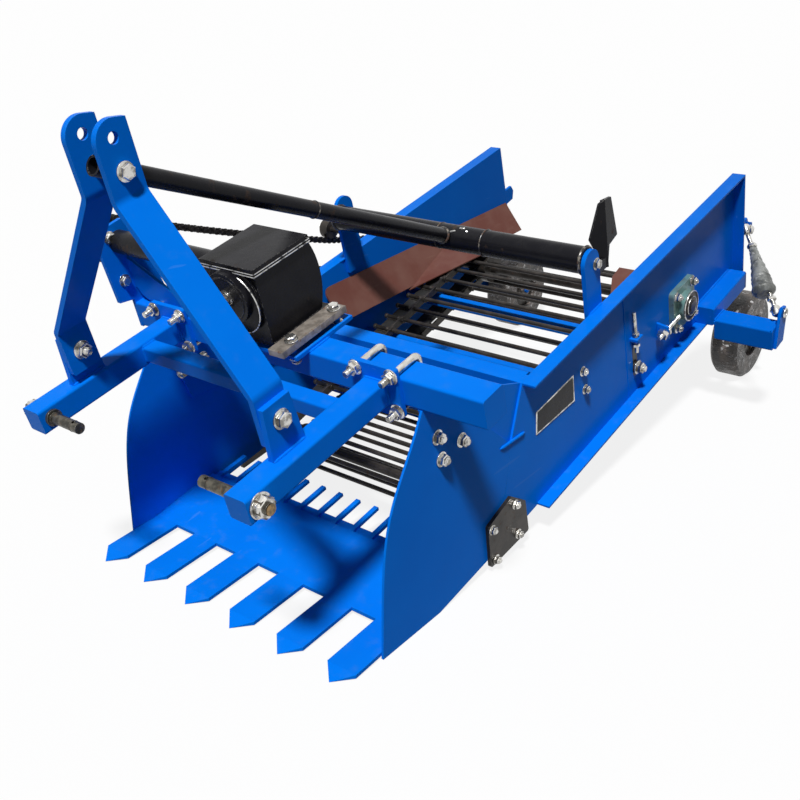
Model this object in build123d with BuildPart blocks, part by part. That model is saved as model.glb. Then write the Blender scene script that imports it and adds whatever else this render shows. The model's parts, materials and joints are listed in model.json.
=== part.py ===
"""Potato harvester for a small tractor: mounted digger with a rod web.

The machine stands parked on its digging share, its two shields and its two rear wheels.
X runs across it (+X is its own left side), Y runs back from the hitch, Z is up, in mm.
Its frame leans forward: the crossbeam, arms, side panels and web are drawn in that
leaning frame, and the share, shields and wheels on level ground.
"""
import os
from math import atan2, cos, degrees, hypot, pi, radians, sin

from build123d import *

os.makedirs("parts", exist_ok=True)

# Where the frame stands: axis of the crossbeam, and how far the frame leans
frame_lean = 12.3
beam_y = -597.2
beam_z = 491.5

# Crossbeam
beam_size = 60.0
beam_left = 510.0
beam_right = 404.0
tube_corner = 5.0

# Hitch arms, their clamps and the tie between them
arm_size = 50.0
arm_spread = 282.0
arm_front = 398.0
arm_drop = 3.0
clamp_plate_size = 104.0
clamp_plate_thick = 10.0
u_bolt_dia = 14.0
u_bolt_bend = 12.0
u_bolt_gauge = 41.0
u_bolt_tip = 16.0
tie_size = 36.0
tie_front = 140.0

# Lower hitch pins
hitch_pin_dia = 22.0
hitch_pin_ahead = 372.0
hitch_pin_reach = 86.0
hitch_collar_dia = 34.0
hitch_collar = 6.0
hitch_nut = 18.0
hitch_nut_width = 34.0
linch_hole = 8.0
linch_inset = 14.0

# Mast: two bent flat bars on lugs
bar_thick = 12.0
bar_width = 66.0
bar_gap = 66.0
bar_foot_up = 44.0
bar_foot_ahead = 266.0
bend_low_up = 140.0
bend_low_ahead = 265.0
bend_high_up = 431.0
bend_high_ahead = 239.0
head_ahead = 237.0
head_front_up = 567.0
head_rear_up = 549.0
head_round = 36.0
bend_radius = 18.0
lug_ahead = 264.0
lug_bolt_up = 86.0
lug_thick = 12.0
lug_foot = 78.0
lug_head = 62.0
lug_top = 120.0
lug_inset = 7.0
mast_bolt_dia = 16.0
top_link_up = 526.0
top_link_dia = 20.0
brace_bolt_up = 472.0

# Brace and rear cross tube
brace_dia = 33.7
brace_wall = 4.0
cross_dia = 60.3
cross_back = 583.0
cross_down = 47.0
upright_thick = 10.0
upright_width = 62.0
upright_left_head = 24.0
upright_left_back = 586.0
upright_right_head = 44.0
upright_right_back = 610.0
upright_foot = 40.0
blade_thick = 6.0
blade_turn = 35.0
blade_back = 664.0
blade_tab = 25.0
blade_low_down = 105.0
blade_high_up = 56.0
blade_wing = 36.0

# Shields and side panels
shell_half = 371.0
shell_thick = 5.0
flange = 30.0
panel_top = 166.0
panel_bottom = 490.0
panel_front = 276.0
panel_rear = 1330.0
seam_back = 158.0
seam_gap = 0.6

# Share, its teeth and the comb behind it
tooth_pitch = 132.3
tooth_count = 6
tooth_half = 35.0
tooth_tip = 268.0
tooth_shoulder = 233.0
tooth_root = 92.0
share_thick = 8.0
share_break_rise = 10.0
share_rear = 83.0
share_rear_rise = 42.0
share_clear = 0.3
finger_pitch = 53.0
finger_side = 17.0
finger_width = 12.0
finger_thick = 8.0
finger_reach = 90.0

# Rod web: axes, radii and rods
web_half = 255.0
rod_dia = 11.0
web_radius = 48.0
web_pitch = 50.0
front_axis_back = 177.0
front_axis_down = 439.0
drive_axis_back = 990.0
drive_axis_down = 374.0
drive_shaft_dia = 30.0
front_shaft_dia = 25.0

# Gearbox on its plate
gear_plate_half = 116.0
gear_plate_front = 63.0
gear_plate_back = 100.0
gear_plate_thick = 8.0
stud_dia = 14.0
stud_gap = 12.0
stud_across = 95.0
stud_along = 63.0
foot_thick = 10.0
foot_half = 112.0
foot_front = 64.0
foot_back = 90.0
box_half = 67.0
box_front = 68.0
box_back = 72.0
box_top = 217.0
cover_thick = 4.0
boss_dia = 104.0
boss_reach = 22.0
boss_rim = 4.0
input_up = 155.0
input_dia = 35.0
input_reach = 70.0
input_seat = 60.0
spline_wide = 8.7
spline_deep = 2.6
box_bulge = 18.0
cover_lip = 14.0
output_up = 171.0
output_back = -16.0
output_dia = 50.0

# Chain drive at the right-hand side
chain_x = -440.0
chain_width = 14.0
chain_height = 12.0
front_sprocket = 45.0
rear_sprocket = 58.0
idler_dia = 50.0
idler_back = 620.0
idler_down = 109.0

# Wheels and their arms
wheel_out = 15.0
wheel_x = shell_half + wheel_out
wheel_back = 1464.0
wheel_dia = 248.0
wheel_width = 78.0
wheel_rim_dia = 120.0
wheel_hub_dia = 46.0
wheel_dish = 14.0
tread_round = 9.0
axle_dia = 20.0
arm_bar = 50.0
carrier_front = 1085.0
carrier_rear = 1300.0
carrier_top = 435.0
wheel_bar_front = 1090.0
wheel_bar_drop = 65.0
wheel_bar_up = carrier_top + wheel_bar_drop
wheel_bar_out = 204.0
wheel_bar_end = shell_half + wheel_bar_out
wheel_bar_size = 60.0
swing_thick = 12.0
swing_width = 44.0
swing_gap = 12.0
link_lug_thick = 10.0
link_lug_wide = 40.0
link_lug_tall = 40.0
link_dia = 24.0
link_out = 22.0
link_top_x = shell_half + link_out
link_top_back = 1368.0
link_top_down = 349.0
link_low_down = 425.0

# Seat between pieces that only rest on each other, and running clearance of the shafts
seat = 0.3
shaft_clear = 0.08


def leaning(angle, x, y, z):
    """Plane with x across, y back along the lean and z up from it."""
    turn = radians(angle)
    return Plane(origin=(x, y, z), x_dir=(1, 0, 0), z_dir=(0, -sin(turn), cos(turn)))


frame = leaning(frame_lean, 0, beam_y, beam_z)
lean_cos = cos(radians(frame_lean))
lean_sin = sin(radians(frame_lean))


def world(x, back, up):
    """Point of the leaning frame as a point of the machine."""
    return Vector(
        x,
        beam_y + back * lean_cos - up * lean_sin,
        beam_z + back * lean_sin + up * lean_cos,
    )


def framed(back, height):
    """Side view: distance behind the crossbeam and height, as back and up in the frame."""
    return (
        back * lean_cos + (height - beam_z) * lean_sin,
        -back * lean_sin + (height - beam_z) * lean_cos,
    )


def side(x):
    """Side view of the leaning frame at x: local x back, local y up."""
    return Plane(origin=world(x, 0, 0), x_dir=(0, lean_cos, lean_sin), z_dir=(1, 0, 0))


def ground_side(x):
    """Side view on level ground at x: local x back from the crossbeam, local y height."""
    return Plane(origin=(x, beam_y, 0), x_dir=(0, 1, 0), z_dir=(1, 0, 0))


def section(back, up, x=0.0):
    """Cross-section of the leaning frame at one distance back: local x across, local y down."""
    return Plane(origin=world(x, back, up), x_dir=(1, 0, 0), z_dir=(0, lean_cos, lean_sin))


def save(piece, name):
    piece.part.label = name
    export_step(piece.part, f"parts/{name}.step")


shell_inner = shell_half - shell_thick

# Crossbeam
with BuildPart() as crossbeam:
    with BuildSketch(side(-beam_right)):
        RectangleRounded(beam_size, beam_size, tube_corner)
    extrude(amount=beam_right + beam_left)
save(crossbeam, "crossbeam")

# Clamp plates on the beam's front, with four holes each
plate_front = beam_size / 2 + clamp_plate_thick
leg_up = beam_size / 2 + seat + u_bolt_dia / 2
with BuildPart() as clamp_plates:
    with BuildSketch(section(-plate_front, 0, arm_spread)):
        RectangleRounded(clamp_plate_size, clamp_plate_size, tube_corner)
        with GridLocations(2 * u_bolt_gauge, 2 * leg_up, 2, 2):
            Circle(u_bolt_dia / 2 + seat, mode=Mode.SUBTRACT)
    extrude(amount=clamp_plate_thick)
    mirror(about=Plane.YZ)
save(clamp_plates, "clamp_plates")

# Square U-bolts round the beam, legs through the clamp plates
leg_end = -(plate_front + u_bolt_tip)
u_back = beam_size / 2 + seat + u_bolt_dia / 2
with BuildPart() as u_bolts:
    for across in (arm_spread - u_bolt_gauge, arm_spread + u_bolt_gauge):
        with BuildLine(side(across)) as u_path:
            FilletPolyline(
                (leg_end, leg_up), (u_back, leg_up), (u_back, -leg_up), (leg_end, -leg_up),
                radius=u_bolt_bend,
            )
        with BuildSketch(Plane(origin=world(across, leg_end, leg_up),
                               z_dir=(0, lean_cos, lean_sin))):
            Circle(u_bolt_dia / 2)
        sweep(path=u_path.wires()[0])
    mirror(about=Plane.YZ)
save(u_bolts, "u_bolts")

# Hitch arms, bored for the lower pins
with BuildPart() as hitch_arm_left:
    with BuildSketch(section(-arm_front, -arm_drop, arm_spread)):
        RectangleRounded(arm_size, arm_size, tube_corner)
    extrude(amount=arm_front - plate_front)
    with BuildSketch(side(arm_spread - arm_size)):
        with Locations((-hitch_pin_ahead, -arm_drop)):
            Circle(hitch_pin_dia / 2 + seat)
    extrude(amount=2 * arm_size, mode=Mode.SUBTRACT)
with BuildPart() as hitch_arm_right:
    mirror(hitch_arm_left.part, about=Plane.YZ)
save(hitch_arm_left, "hitch_arm_left")
save(hitch_arm_right, "hitch_arm_right")

# Tie between the arms
arm_inner = arm_spread - arm_size / 2
arm_outer = arm_spread + arm_size / 2
with BuildPart() as hitch_cross_tie:
    with BuildSketch(side(-arm_inner)):
        with Locations((-tie_front + tie_size / 2, -arm_drop)):
            RectangleRounded(tie_size, tie_size, tube_corner)
    extrude(amount=2 * arm_inner)
save(hitch_cross_tie, "hitch_cross_tie")

# Lower hitch pins: collar against the arm, nut outside, hole for the linch pin
with BuildPart() as hitch_pin_left:
    with BuildSketch(side(arm_inner - hitch_pin_reach)):
        with Locations((-hitch_pin_ahead, -arm_drop)):
            Circle(hitch_pin_dia / 2)
    extrude(amount=hitch_pin_reach + arm_size + hitch_nut + hitch_collar)
    with BuildSketch(side(arm_inner - hitch_collar)):
        with Locations((-hitch_pin_ahead, -arm_drop)):
            Circle(hitch_collar_dia / 2)
    extrude(amount=hitch_collar)
    with BuildSketch(side(arm_outer)):
        with Locations((-hitch_pin_ahead, -arm_drop)):
            RegularPolygon(hitch_nut_width / 2, 6, major_radius=False)
    extrude(amount=hitch_nut)
    pin_end = world(arm_inner - hitch_pin_reach + linch_inset, -hitch_pin_ahead, -arm_drop)
    with BuildSketch(Plane(origin=pin_end, x_dir=(1, 0, 0), z_dir=(0, -lean_sin, lean_cos))):
        Circle(linch_hole / 2)
    extrude(amount=hitch_pin_dia, both=True, mode=Mode.SUBTRACT)
with BuildPart() as hitch_pin_right:
    mirror(hitch_pin_left.part, about=Plane.YZ)
save(hitch_pin_left, "hitch_pin_left")
save(hitch_pin_right, "hitch_pin_right")

# Mast: lugs on the arms, bent bars outside view, both bored for their bolts
lug_outer = arm_spread + lug_thick / 2 - lug_inset
lug_inner = lug_outer - lug_thick
arm_top = arm_size / 2 - arm_drop
with BuildPart() as mast_lugs:
    with BuildSketch(side(lug_inner)):
        with BuildLine():
            Polyline(
                (-lug_ahead - lug_foot / 2, arm_top),
                (-lug_ahead + lug_foot / 2, arm_top),
                (-lug_ahead + lug_head / 2, lug_top),
                (-lug_ahead - lug_head / 2, lug_top),
                close=True,
            )
        make_face()
        with Locations((-lug_ahead, lug_bolt_up)):
            Circle(mast_bolt_dia / 2 + seat, mode=Mode.SUBTRACT)
    extrude(amount=lug_thick)
    mirror(about=Plane.YZ)
save(mast_lugs, "mast_lugs")

bar_low_x = lug_inner
bar_top_x = bar_gap / 2 + bar_thick
bar_half = bar_width / 2
with BuildPart() as mast_bar_left:
    with BuildSketch(section(-lug_ahead - bar_width, 0)):
        with BuildLine():
            outer = FilletPolyline(
                (bar_low_x, -bar_foot_up),
                (bar_low_x, -bend_low_up),
                (bar_top_x, -bend_high_up),
                (bar_top_x, -head_front_up),
                radius=bend_radius,
            )
            offset(outer, amount=bar_thick, side=Side.RIGHT, closed=True)
        make_face()
    extrude(amount=2 * bar_width + lug_ahead - head_ahead)
    with BuildSketch(side(0)):
        with BuildLine():
            Polyline(
                (-bar_foot_ahead - bar_half, bar_foot_up),
                (-bend_low_ahead - bar_half, bend_low_up),
                (-bend_high_ahead - bar_half, bend_high_up),
                (-head_ahead - bar_half, head_front_up),
                (-head_ahead + bar_half, head_rear_up),
                (-bend_high_ahead + bar_half, bend_high_up),
                (-bend_low_ahead + bar_half, bend_low_up),
                (-bar_foot_ahead + bar_half, bar_foot_up),
                close=True,
            )
        make_face()
        head_front = (-head_ahead - bar_half, head_front_up)
        fillet(vertices().sort_by_distance(head_front)[:1], head_round)
        fillet(vertices().sort_by(Axis.Y)[:2], tube_corner)
    extrude(amount=arm_spread, mode=Mode.INTERSECT)
    with BuildSketch(side(0)):
        with Locations((-lug_ahead, lug_bolt_up), (-head_ahead, brace_bolt_up)):
            Circle(mast_bolt_dia / 2 + seat)
        with Locations((-head_ahead, top_link_up)):
            Circle(top_link_dia / 2)
    extrude(amount=arm_spread, mode=Mode.SUBTRACT)
with BuildPart() as mast_bar_right:
    mirror(mast_bar_left.part, about=Plane.YZ)
save(mast_bar_left, "mast_bar_left")
save(mast_bar_right, "mast_bar_right")

# Bolt across the mast head, through the eye of the brace
brace_bolt = world(0, -head_ahead, brace_bolt_up)
bolt_half = bar_top_x + 10
with BuildPart() as mast_bolt:
    with BuildSketch(Plane(origin=(-bolt_half, brace_bolt.Y, brace_bolt.Z), z_dir=(1, 0, 0))):
        Circle(mast_bolt_dia / 2)
    extrude(amount=2 * bolt_half)
save(mast_bolt, "mast_bolt")

# Brace from the mast bolt down to the middle of the rear cross tube
cross_axis = world(0, cross_back, -cross_down)
brace_run = cross_axis - brace_bolt
brace_dir = brace_run.normalized()
brace_start = brace_bolt - brace_dir * (brace_dia * 0.8)
with BuildPart() as brace_tube:
    with BuildSketch(Plane(origin=brace_start, z_dir=brace_dir)):
        Circle(brace_dia / 2)
        Circle(brace_dia / 2 - brace_wall, mode=Mode.SUBTRACT)
    extrude(amount=brace_run.length + brace_dia * 0.8)
    with BuildSketch(side(-cross_dia)):
        with Locations((cross_back, -cross_down)):
            Circle(cross_dia / 2)
    extrude(amount=2 * cross_dia, mode=Mode.SUBTRACT)
    with BuildSketch(Plane(origin=(-cross_dia, brace_bolt.Y, brace_bolt.Z), z_dir=(1, 0, 0))):
        Circle(mast_bolt_dia / 2 + seat)
    extrude(amount=2 * cross_dia, mode=Mode.SUBTRACT)
save(brace_tube, "brace_tube")

# Rear cross tube between its two uprights
upright_inner = shell_inner - upright_thick
with BuildPart() as rear_cross_tube:
    with BuildSketch(side(-upright_inner)):
        with Locations((cross_back, -cross_down)):
            Circle(cross_dia / 2)
    extrude(amount=2 * upright_inner)
save(rear_cross_tube, "rear_cross_tube")

upright_places = (
    (upright_inner, upright_left_back, upright_left_head - cross_down),
    (-shell_inner, upright_right_back, upright_right_head - cross_down),
)
upright_low = panel_top + upright_foot
with BuildPart() as uprights:
    for face, back, top in upright_places:
        with BuildSketch(side(face)):
            with Locations((back, top)):
                Rectangle(upright_width, top + upright_low, align=(Align.CENTER, Align.MAX))
            fillet(vertices().sort_by(Axis.Y)[-2:], 0.48 * upright_width)
        extrude(amount=upright_thick)
save(uprights, "uprights")

# Shields: share's height at the ground, front curve up to the beam, rear edge on the seam
beam_under = -beam_size / 2
seam = ((212.0, -275.0), (seam_back, -400.0), (seam_back, -panel_bottom))
with BuildPart() as shield_left:
    with BuildSketch(side(shell_inner)):
        with BuildLine():
            curve = Spline(
                framed(-162.0, 0),
                framed(-150.0, 150.0),
                framed(-118.0, 292.0),
                framed(-58.0, 392.0),
                (beam_under, beam_under),
            )
            Polyline(
                curve @ 1,
                (-beam_under, beam_under),
                (seam[0][0] - seam_gap, seam[0][1]),
                (seam[1][0] - seam_gap, seam[1][1]),
                (seam[2][0] - seam_gap, seam[2][1]),
                framed(13.6, 0),
                curve @ 0,
            )
        make_face()
    extrude(amount=shell_thick)
with BuildPart() as shield_right:
    mirror(shield_left.part, about=Plane.YZ)
save(shield_left, "shield_left")
save(shield_right, "shield_right")

# Side panels: sheet with flanges turned out along top, rear and bottom
shaft_slot = drive_shaft_dia + 12.0
with BuildPart() as side_panel_left:
    with BuildSketch(side(shell_inner)):
        with BuildLine():
            Polyline(
                (panel_front, -panel_top),
                (panel_rear, -panel_top),
                (panel_rear, -panel_bottom),
                (panel_front, -panel_bottom),
                (seam[2][0], seam[2][1]),
                (seam[1][0], seam[1][1]),
                (seam[0][0], seam[0][1]),
                close=True,
            )
        make_face()
        with Locations((drive_axis_back, -drive_axis_down)):
            SlotOverall(shaft_slot + 20, shaft_slot, mode=Mode.SUBTRACT)
    extrude(amount=shell_thick)
    with BuildSketch(side(shell_half)):
        with Locations(
            ((panel_front + panel_rear) / 2, -panel_top - shell_thick / 2),
            ((panel_front + panel_rear) / 2, -panel_bottom + shell_thick / 2),
        ):
            Rectangle(panel_rear - panel_front, shell_thick)
        with Locations((panel_rear - shell_thick / 2, -(panel_top + panel_bottom) / 2)):
            Rectangle(shell_thick, panel_bottom - panel_top)
    extrude(amount=flange)
with BuildPart() as side_panel_right:
    mirror(side_panel_left.part, about=Plane.YZ)
save(side_panel_left, "side_panel_left")
save(side_panel_right, "side_panel_right")

# Cheek plates inside, lapping the shield and the panel under the beam
with BuildPart() as cheek_plates:
    with BuildSketch(side(shell_inner - shell_thick)):
        with BuildLine():
            Polyline(
                (beam_under, beam_under),
                (-beam_under, beam_under),
                (panel_front, -panel_top),
                (panel_front + 30, -panel_top),
                (panel_front + 30, -300.0),
                (0, -230.0),
                close=True,
            )
        make_face()
    extrude(amount=shell_thick)
    mirror(about=Plane.YZ)
save(cheek_plates, "cheek_plates")

# Fish plates outside, over the lower end of the seam
fish_thick = 8.0
with BuildPart() as fish_plates:
    with BuildSketch(side(shell_half)):
        with BuildLine():
            Polyline(
                (88.0, -402.0), (178.0, -388.0), (224.0, -434.0),
                (222.0, -517.0), (76.0, -505.0),
                close=True,
            )
        make_face()
        fillet(vertices(), 6)
    extrude(amount=fish_thick)
    mirror(about=Plane.YZ)
save(fish_plates, "fish_plates")

# Front cross angle between the panels, behind the beam
angle_leg = 40.0
angle_wall = 4.0
cheek_inner = shell_inner - shell_thick
with BuildPart() as front_cross_angle:
    with BuildSketch(side(-cheek_inner)):
        with BuildLine():
            Polyline(
                (panel_front, -panel_top),
                (panel_front + angle_leg, -panel_top),
                (panel_front + angle_leg, -panel_top - angle_wall),
                (panel_front + angle_wall, -panel_top - angle_wall),
                (panel_front + angle_wall, -panel_top - angle_leg),
                (panel_front, -panel_top - angle_leg),
                close=True,
            )
        make_face()
    extrude(amount=2 * cheek_inner)
save(front_cross_angle, "front_cross_angle")

# Digging share: bent plate with pointed teeth
share_half = shell_inner - share_clear
share_slope = degrees(atan2(share_rear_rise - share_break_rise, share_rear + tooth_root))
with BuildPart() as share:
    with BuildSketch(ground_side(-share_half)):
        with BuildLine():
            Polyline(
                (-tooth_tip, 0),
                (-tooth_root, share_break_rise),
                (share_rear, share_rear_rise),
                (share_rear - share_thick * sin(radians(share_slope)),
                 share_rear_rise + share_thick * cos(radians(share_slope))),
                (-tooth_root - 1.0, share_break_rise + share_thick),
                (-tooth_shoulder, share_thick + 2.0),
                close=True,
            )
        make_face()
    extrude(amount=2 * share_half)
    with BuildSketch(Plane.XY.offset(-1)):
        with Locations((0, beam_y - tooth_root)):
            Rectangle(2 * share_half, 1.0, align=(Align.CENTER, Align.MAX))
        with Locations((0, beam_y - tooth_root)):
            Rectangle(2 * share_half, share_rear + tooth_root, align=(Align.CENTER, Align.MIN))
        for number in range(tooth_count):
            middle = (number - (tooth_count - 1) / 2) * tooth_pitch
            with BuildLine():
                Polyline(
                    (middle, beam_y - tooth_tip),
                    (middle + tooth_half, beam_y - tooth_shoulder),
                    (middle + tooth_half, beam_y - tooth_root),
                    (middle - tooth_half, beam_y - tooth_root),
                    (middle - tooth_half, beam_y - tooth_shoulder),
                    close=True,
                )
            make_face()
    extrude(amount=share_rear_rise + 2 * share_thick, mode=Mode.INTERSECT)
save(share, "share")

# Comb: flat fingers behind the share, tied by a cross bar under their roots
finger_count = 1 + int(2 * (share_half - finger_side) // finger_pitch)
comb_start = leaning(share_slope, 0, beam_y + share_rear, share_rear_rise)
with BuildPart() as comb:
    with BuildSketch(comb_start):
        with GridLocations(finger_pitch, 1, finger_count, 1):
            Rectangle(finger_width, finger_reach, align=(Align.CENTER, Align.MIN))
    extrude(amount=finger_thick)
    with BuildSketch(comb_start):
        Rectangle(2 * share_half, 24, align=(Align.CENTER, Align.MIN))
    extrude(amount=-6)
save(comb, "comb")

# Rod web: cross rods carried on two side belts that run round both axes
web_run = hypot(drive_axis_back - front_axis_back, drive_axis_down - front_axis_down)
web_turn = degrees(atan2(front_axis_down - drive_axis_down, drive_axis_back - front_axis_back))
web_origin = world(0, front_axis_back, -front_axis_down)
web_tilt = frame_lean + web_turn


def web_side(x):
    """Side view along the web: local x from the front axis to the drive axis."""
    turn = radians(web_tilt)
    return Plane(origin=web_origin + Vector(x, 0, 0), x_dir=(0, cos(turn), sin(turn)),
                 z_dir=(1, 0, 0))


web_link_thick = 5.0
web_link_tall = 19.0
web_wheel_inset = 22.0
web_wheel_width = 34.0
web_length = 2 * web_run + 2 * pi * web_radius
rod_count = 2 * int(web_length // (2 * web_pitch))
rod_spots = []
for number in range(rod_count):
    run = number * web_length / rod_count
    if run < web_run:
        rod_spots.append((run, web_radius))
    elif run < web_run + pi * web_radius:
        turn = (run - web_run) / web_radius
        rod_spots.append((web_run + web_radius * sin(turn), web_radius * cos(turn)))
    elif run < 2 * web_run + pi * web_radius:
        rod_spots.append((2 * web_run + pi * web_radius - run, -web_radius))
    else:
        turn = (run - 2 * web_run - pi * web_radius) / web_radius
        rod_spots.append((-web_radius * sin(turn), -web_radius * cos(turn)))
with BuildPart() as conveyor_web:
    with BuildSketch(web_side(-web_half)):
        with Locations(rod_spots):
            Circle(rod_dia / 2)
    extrude(amount=2 * web_half)
    for first in (0, 1):
        for link_x in (
            -web_half + first * web_link_thick,
            web_half - web_link_thick - first * web_link_thick,
        ):
            with BuildSketch(web_side(link_x)):
                for number in range(first, rod_count, 2):
                    here = rod_spots[number]
                    there = rod_spots[(number + 1) % rod_count]
                    with Locations(((here[0] + there[0]) / 2, (here[1] + there[1]) / 2)):
                        SlotCenterToCenter(
                            hypot(there[0] - here[0], there[1] - here[1]), web_link_tall,
                            rotation=degrees(atan2(there[1] - here[1], there[0] - here[0])),
                        )
            extrude(amount=web_link_thick)
save(conveyor_web, "conveyor_web")

# Web wheels inside the belts at both axes
wheel_radius = web_radius - rod_dia / 2 - seat
with BuildPart() as front_web_axle:
    with BuildSketch(side(-shell_inner)):
        with Locations((front_axis_back, -front_axis_down)):
            Circle(front_shaft_dia / 2)
    extrude(amount=2 * shell_inner)
    for inner in (-web_half + web_wheel_inset, web_half - web_wheel_inset - web_wheel_width):
        with BuildSketch(side(inner)):
            with Locations((front_axis_back, -front_axis_down)):
                Circle(wheel_radius)
        extrude(amount=web_wheel_width)
save(front_web_axle, "front_web_axle")

chain_inner = chain_x + chain_width / 2
shaft_end = 410.0
with BuildPart() as web_drive_shaft:
    with BuildSketch(side(chain_x - 20)):
        with Locations((drive_axis_back, -drive_axis_down)):
            Circle(drive_shaft_dia / 2)
    extrude(amount=shaft_end - chain_x + 20)
    for inner in (-web_half + web_wheel_inset, web_half - web_wheel_inset - web_wheel_width):
        with BuildSketch(side(inner)):
            with Locations((drive_axis_back, -drive_axis_down)):
                Circle(wheel_radius)
        extrude(amount=web_wheel_width)
save(web_drive_shaft, "web_drive_shaft")

# Cross ties between the panels, inside the web loop
tie_bar = 25.0
tie_places = (380.0, 600.0, 800.0)
axis_slope = (front_axis_down - drive_axis_down) / (drive_axis_back - front_axis_back)
with BuildPart() as web_cross_ties:
    with BuildSketch(side(-shell_inner)):
        for back in tie_places:
            with Locations((back, -front_axis_down + (back - front_axis_back) * axis_slope)):
                Rectangle(tie_bar, tie_bar)
    extrude(amount=2 * shell_inner)
save(web_cross_ties, "web_cross_ties")

# Flange bearings of the drive shaft on the panels
bearing_square = 118.0
bearing_thick = 14.0
bearing_hub = 78.0
bearing_reach = 30.0
with BuildPart() as shaft_bearings:
    with BuildSketch(side(shell_half)):
        with Locations((drive_axis_back, -drive_axis_down)):
            RectangleRounded(bearing_square, bearing_square, 12)
            Circle(drive_shaft_dia / 2 + seat, mode=Mode.SUBTRACT)
    extrude(amount=bearing_thick)
    with BuildSketch(side(shell_half + bearing_thick)):
        with Locations((drive_axis_back, -drive_axis_down)):
            Circle(bearing_hub / 2)
            Circle(drive_shaft_dia / 2 + seat, mode=Mode.SUBTRACT)
    extrude(amount=bearing_reach - bearing_thick)
    mirror(about=Plane.YZ)
save(shaft_bearings, "shaft_bearings")

# Rubber strips: flat bands leaning inward from the panels over the web's edges
strip_thick = 5.0
strip_low_in = 58.0
strip_front = (475.0, -204.0)
strip_rear = (1316.0, -344.0)
strip_drop = 80.0
strip_x = shell_inner - seat
p0 = world(strip_x, *strip_front)
p1 = world(strip_x, *strip_rear)
strip_long = (p1 - p0).normalized()
down = Vector(0, lean_sin, -lean_cos)
down = (down - strip_long * down.dot(strip_long)).normalized()
strip_fall = (down * strip_drop + Vector(-strip_low_in, 0, 0))
strip_width = strip_fall.length
with BuildPart() as deflector_strip_left:
    with BuildSketch(Plane(origin=p0, x_dir=strip_long, z_dir=strip_long.cross(strip_fall))):
        Rectangle((p1 - p0).length, strip_width, align=(Align.MIN, Align.MIN))
        fillet(vertices().sort_by(Axis.X)[0:1], 24)
    extrude(amount=strip_thick)
    with BuildSketch(side(strip_x - strip_low_in - 2 * strip_thick)):
        with Locations((drive_axis_back, -drive_axis_down)):
            Circle(drive_shaft_dia / 2 + 2)
    extrude(amount=strip_low_in + 3 * strip_thick, mode=Mode.SUBTRACT)
with BuildPart() as deflector_strip_right:
    mirror(deflector_strip_left.part, about=Plane.YZ)
save(deflector_strip_left, "deflector_strip_left")
save(deflector_strip_right, "deflector_strip_right")

# Blade plate on the right upright: folded sheet, its front part turned inward
blade_x = upright_inner - seat
blade_fold = radians(blade_turn)
with BuildPart() as blade_plate:
    with BuildSketch(side(blade_x - blade_thick)):
        with BuildLine():
            Polyline(
                (blade_back, blade_high_up),
                (blade_back + 38.0, blade_high_up - 8.0),
                (blade_back + 56.0, -50.0),
                (blade_back + 20.0, -58.0),
                (blade_back + 8.0, -blade_low_down),
                (upright_left_back, -blade_low_down),
                (upright_left_back, -blade_low_down + blade_tab),
                (blade_back, -blade_low_down + blade_tab),
                close=True,
            )
        make_face()
    extrude(amount=blade_thick)
    turned = Plane(
        origin=world(blade_x, blade_back, blade_high_up),
        x_dir=(-sin(blade_fold), -cos(blade_fold) * lean_cos, -cos(blade_fold) * lean_sin),
        z_dir=(-cos(blade_fold), sin(blade_fold) * lean_cos, sin(blade_fold) * lean_sin),
    )
    with BuildSketch(turned):
        with BuildLine():
            Polyline(
                (-blade_thick, 0),
                (blade_wing / 4, -7.0),
                (blade_wing, -blade_high_up - 29.0),
                (blade_thick, -blade_low_down - blade_high_up),
                (-blade_thick, -blade_low_down - blade_high_up),
                close=True,
            )
        make_face()
    extrude(amount=blade_thick)
save(blade_plate, "blade_plate")

# Gearbox: plate on the beam, studs, foot, housing, boss and cover
plate_low = beam_size / 2


def level(back, up, x=0.0):
    """Plane parallel to the frame's own floor: local x across, local y back."""
    return leaning(frame_lean, x, world(0, back, up).Y, world(0, back, up).Z)


with BuildPart() as gearbox_mount:
    with BuildSketch(level(0, plate_low)):
        with Locations((0, (gear_plate_back - gear_plate_front) / 2)):
            Rectangle(2 * gear_plate_half, gear_plate_back + gear_plate_front)
    extrude(amount=gear_plate_thick)
    with BuildSketch(level((foot_back - foot_front) / 2, plate_low + gear_plate_thick)):
        with GridLocations(2 * stud_across, 2 * stud_along, 2, 2):
            Circle(stud_dia / 2)
    extrude(amount=stud_gap)
save(gearbox_mount, "gearbox_mount")

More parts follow.
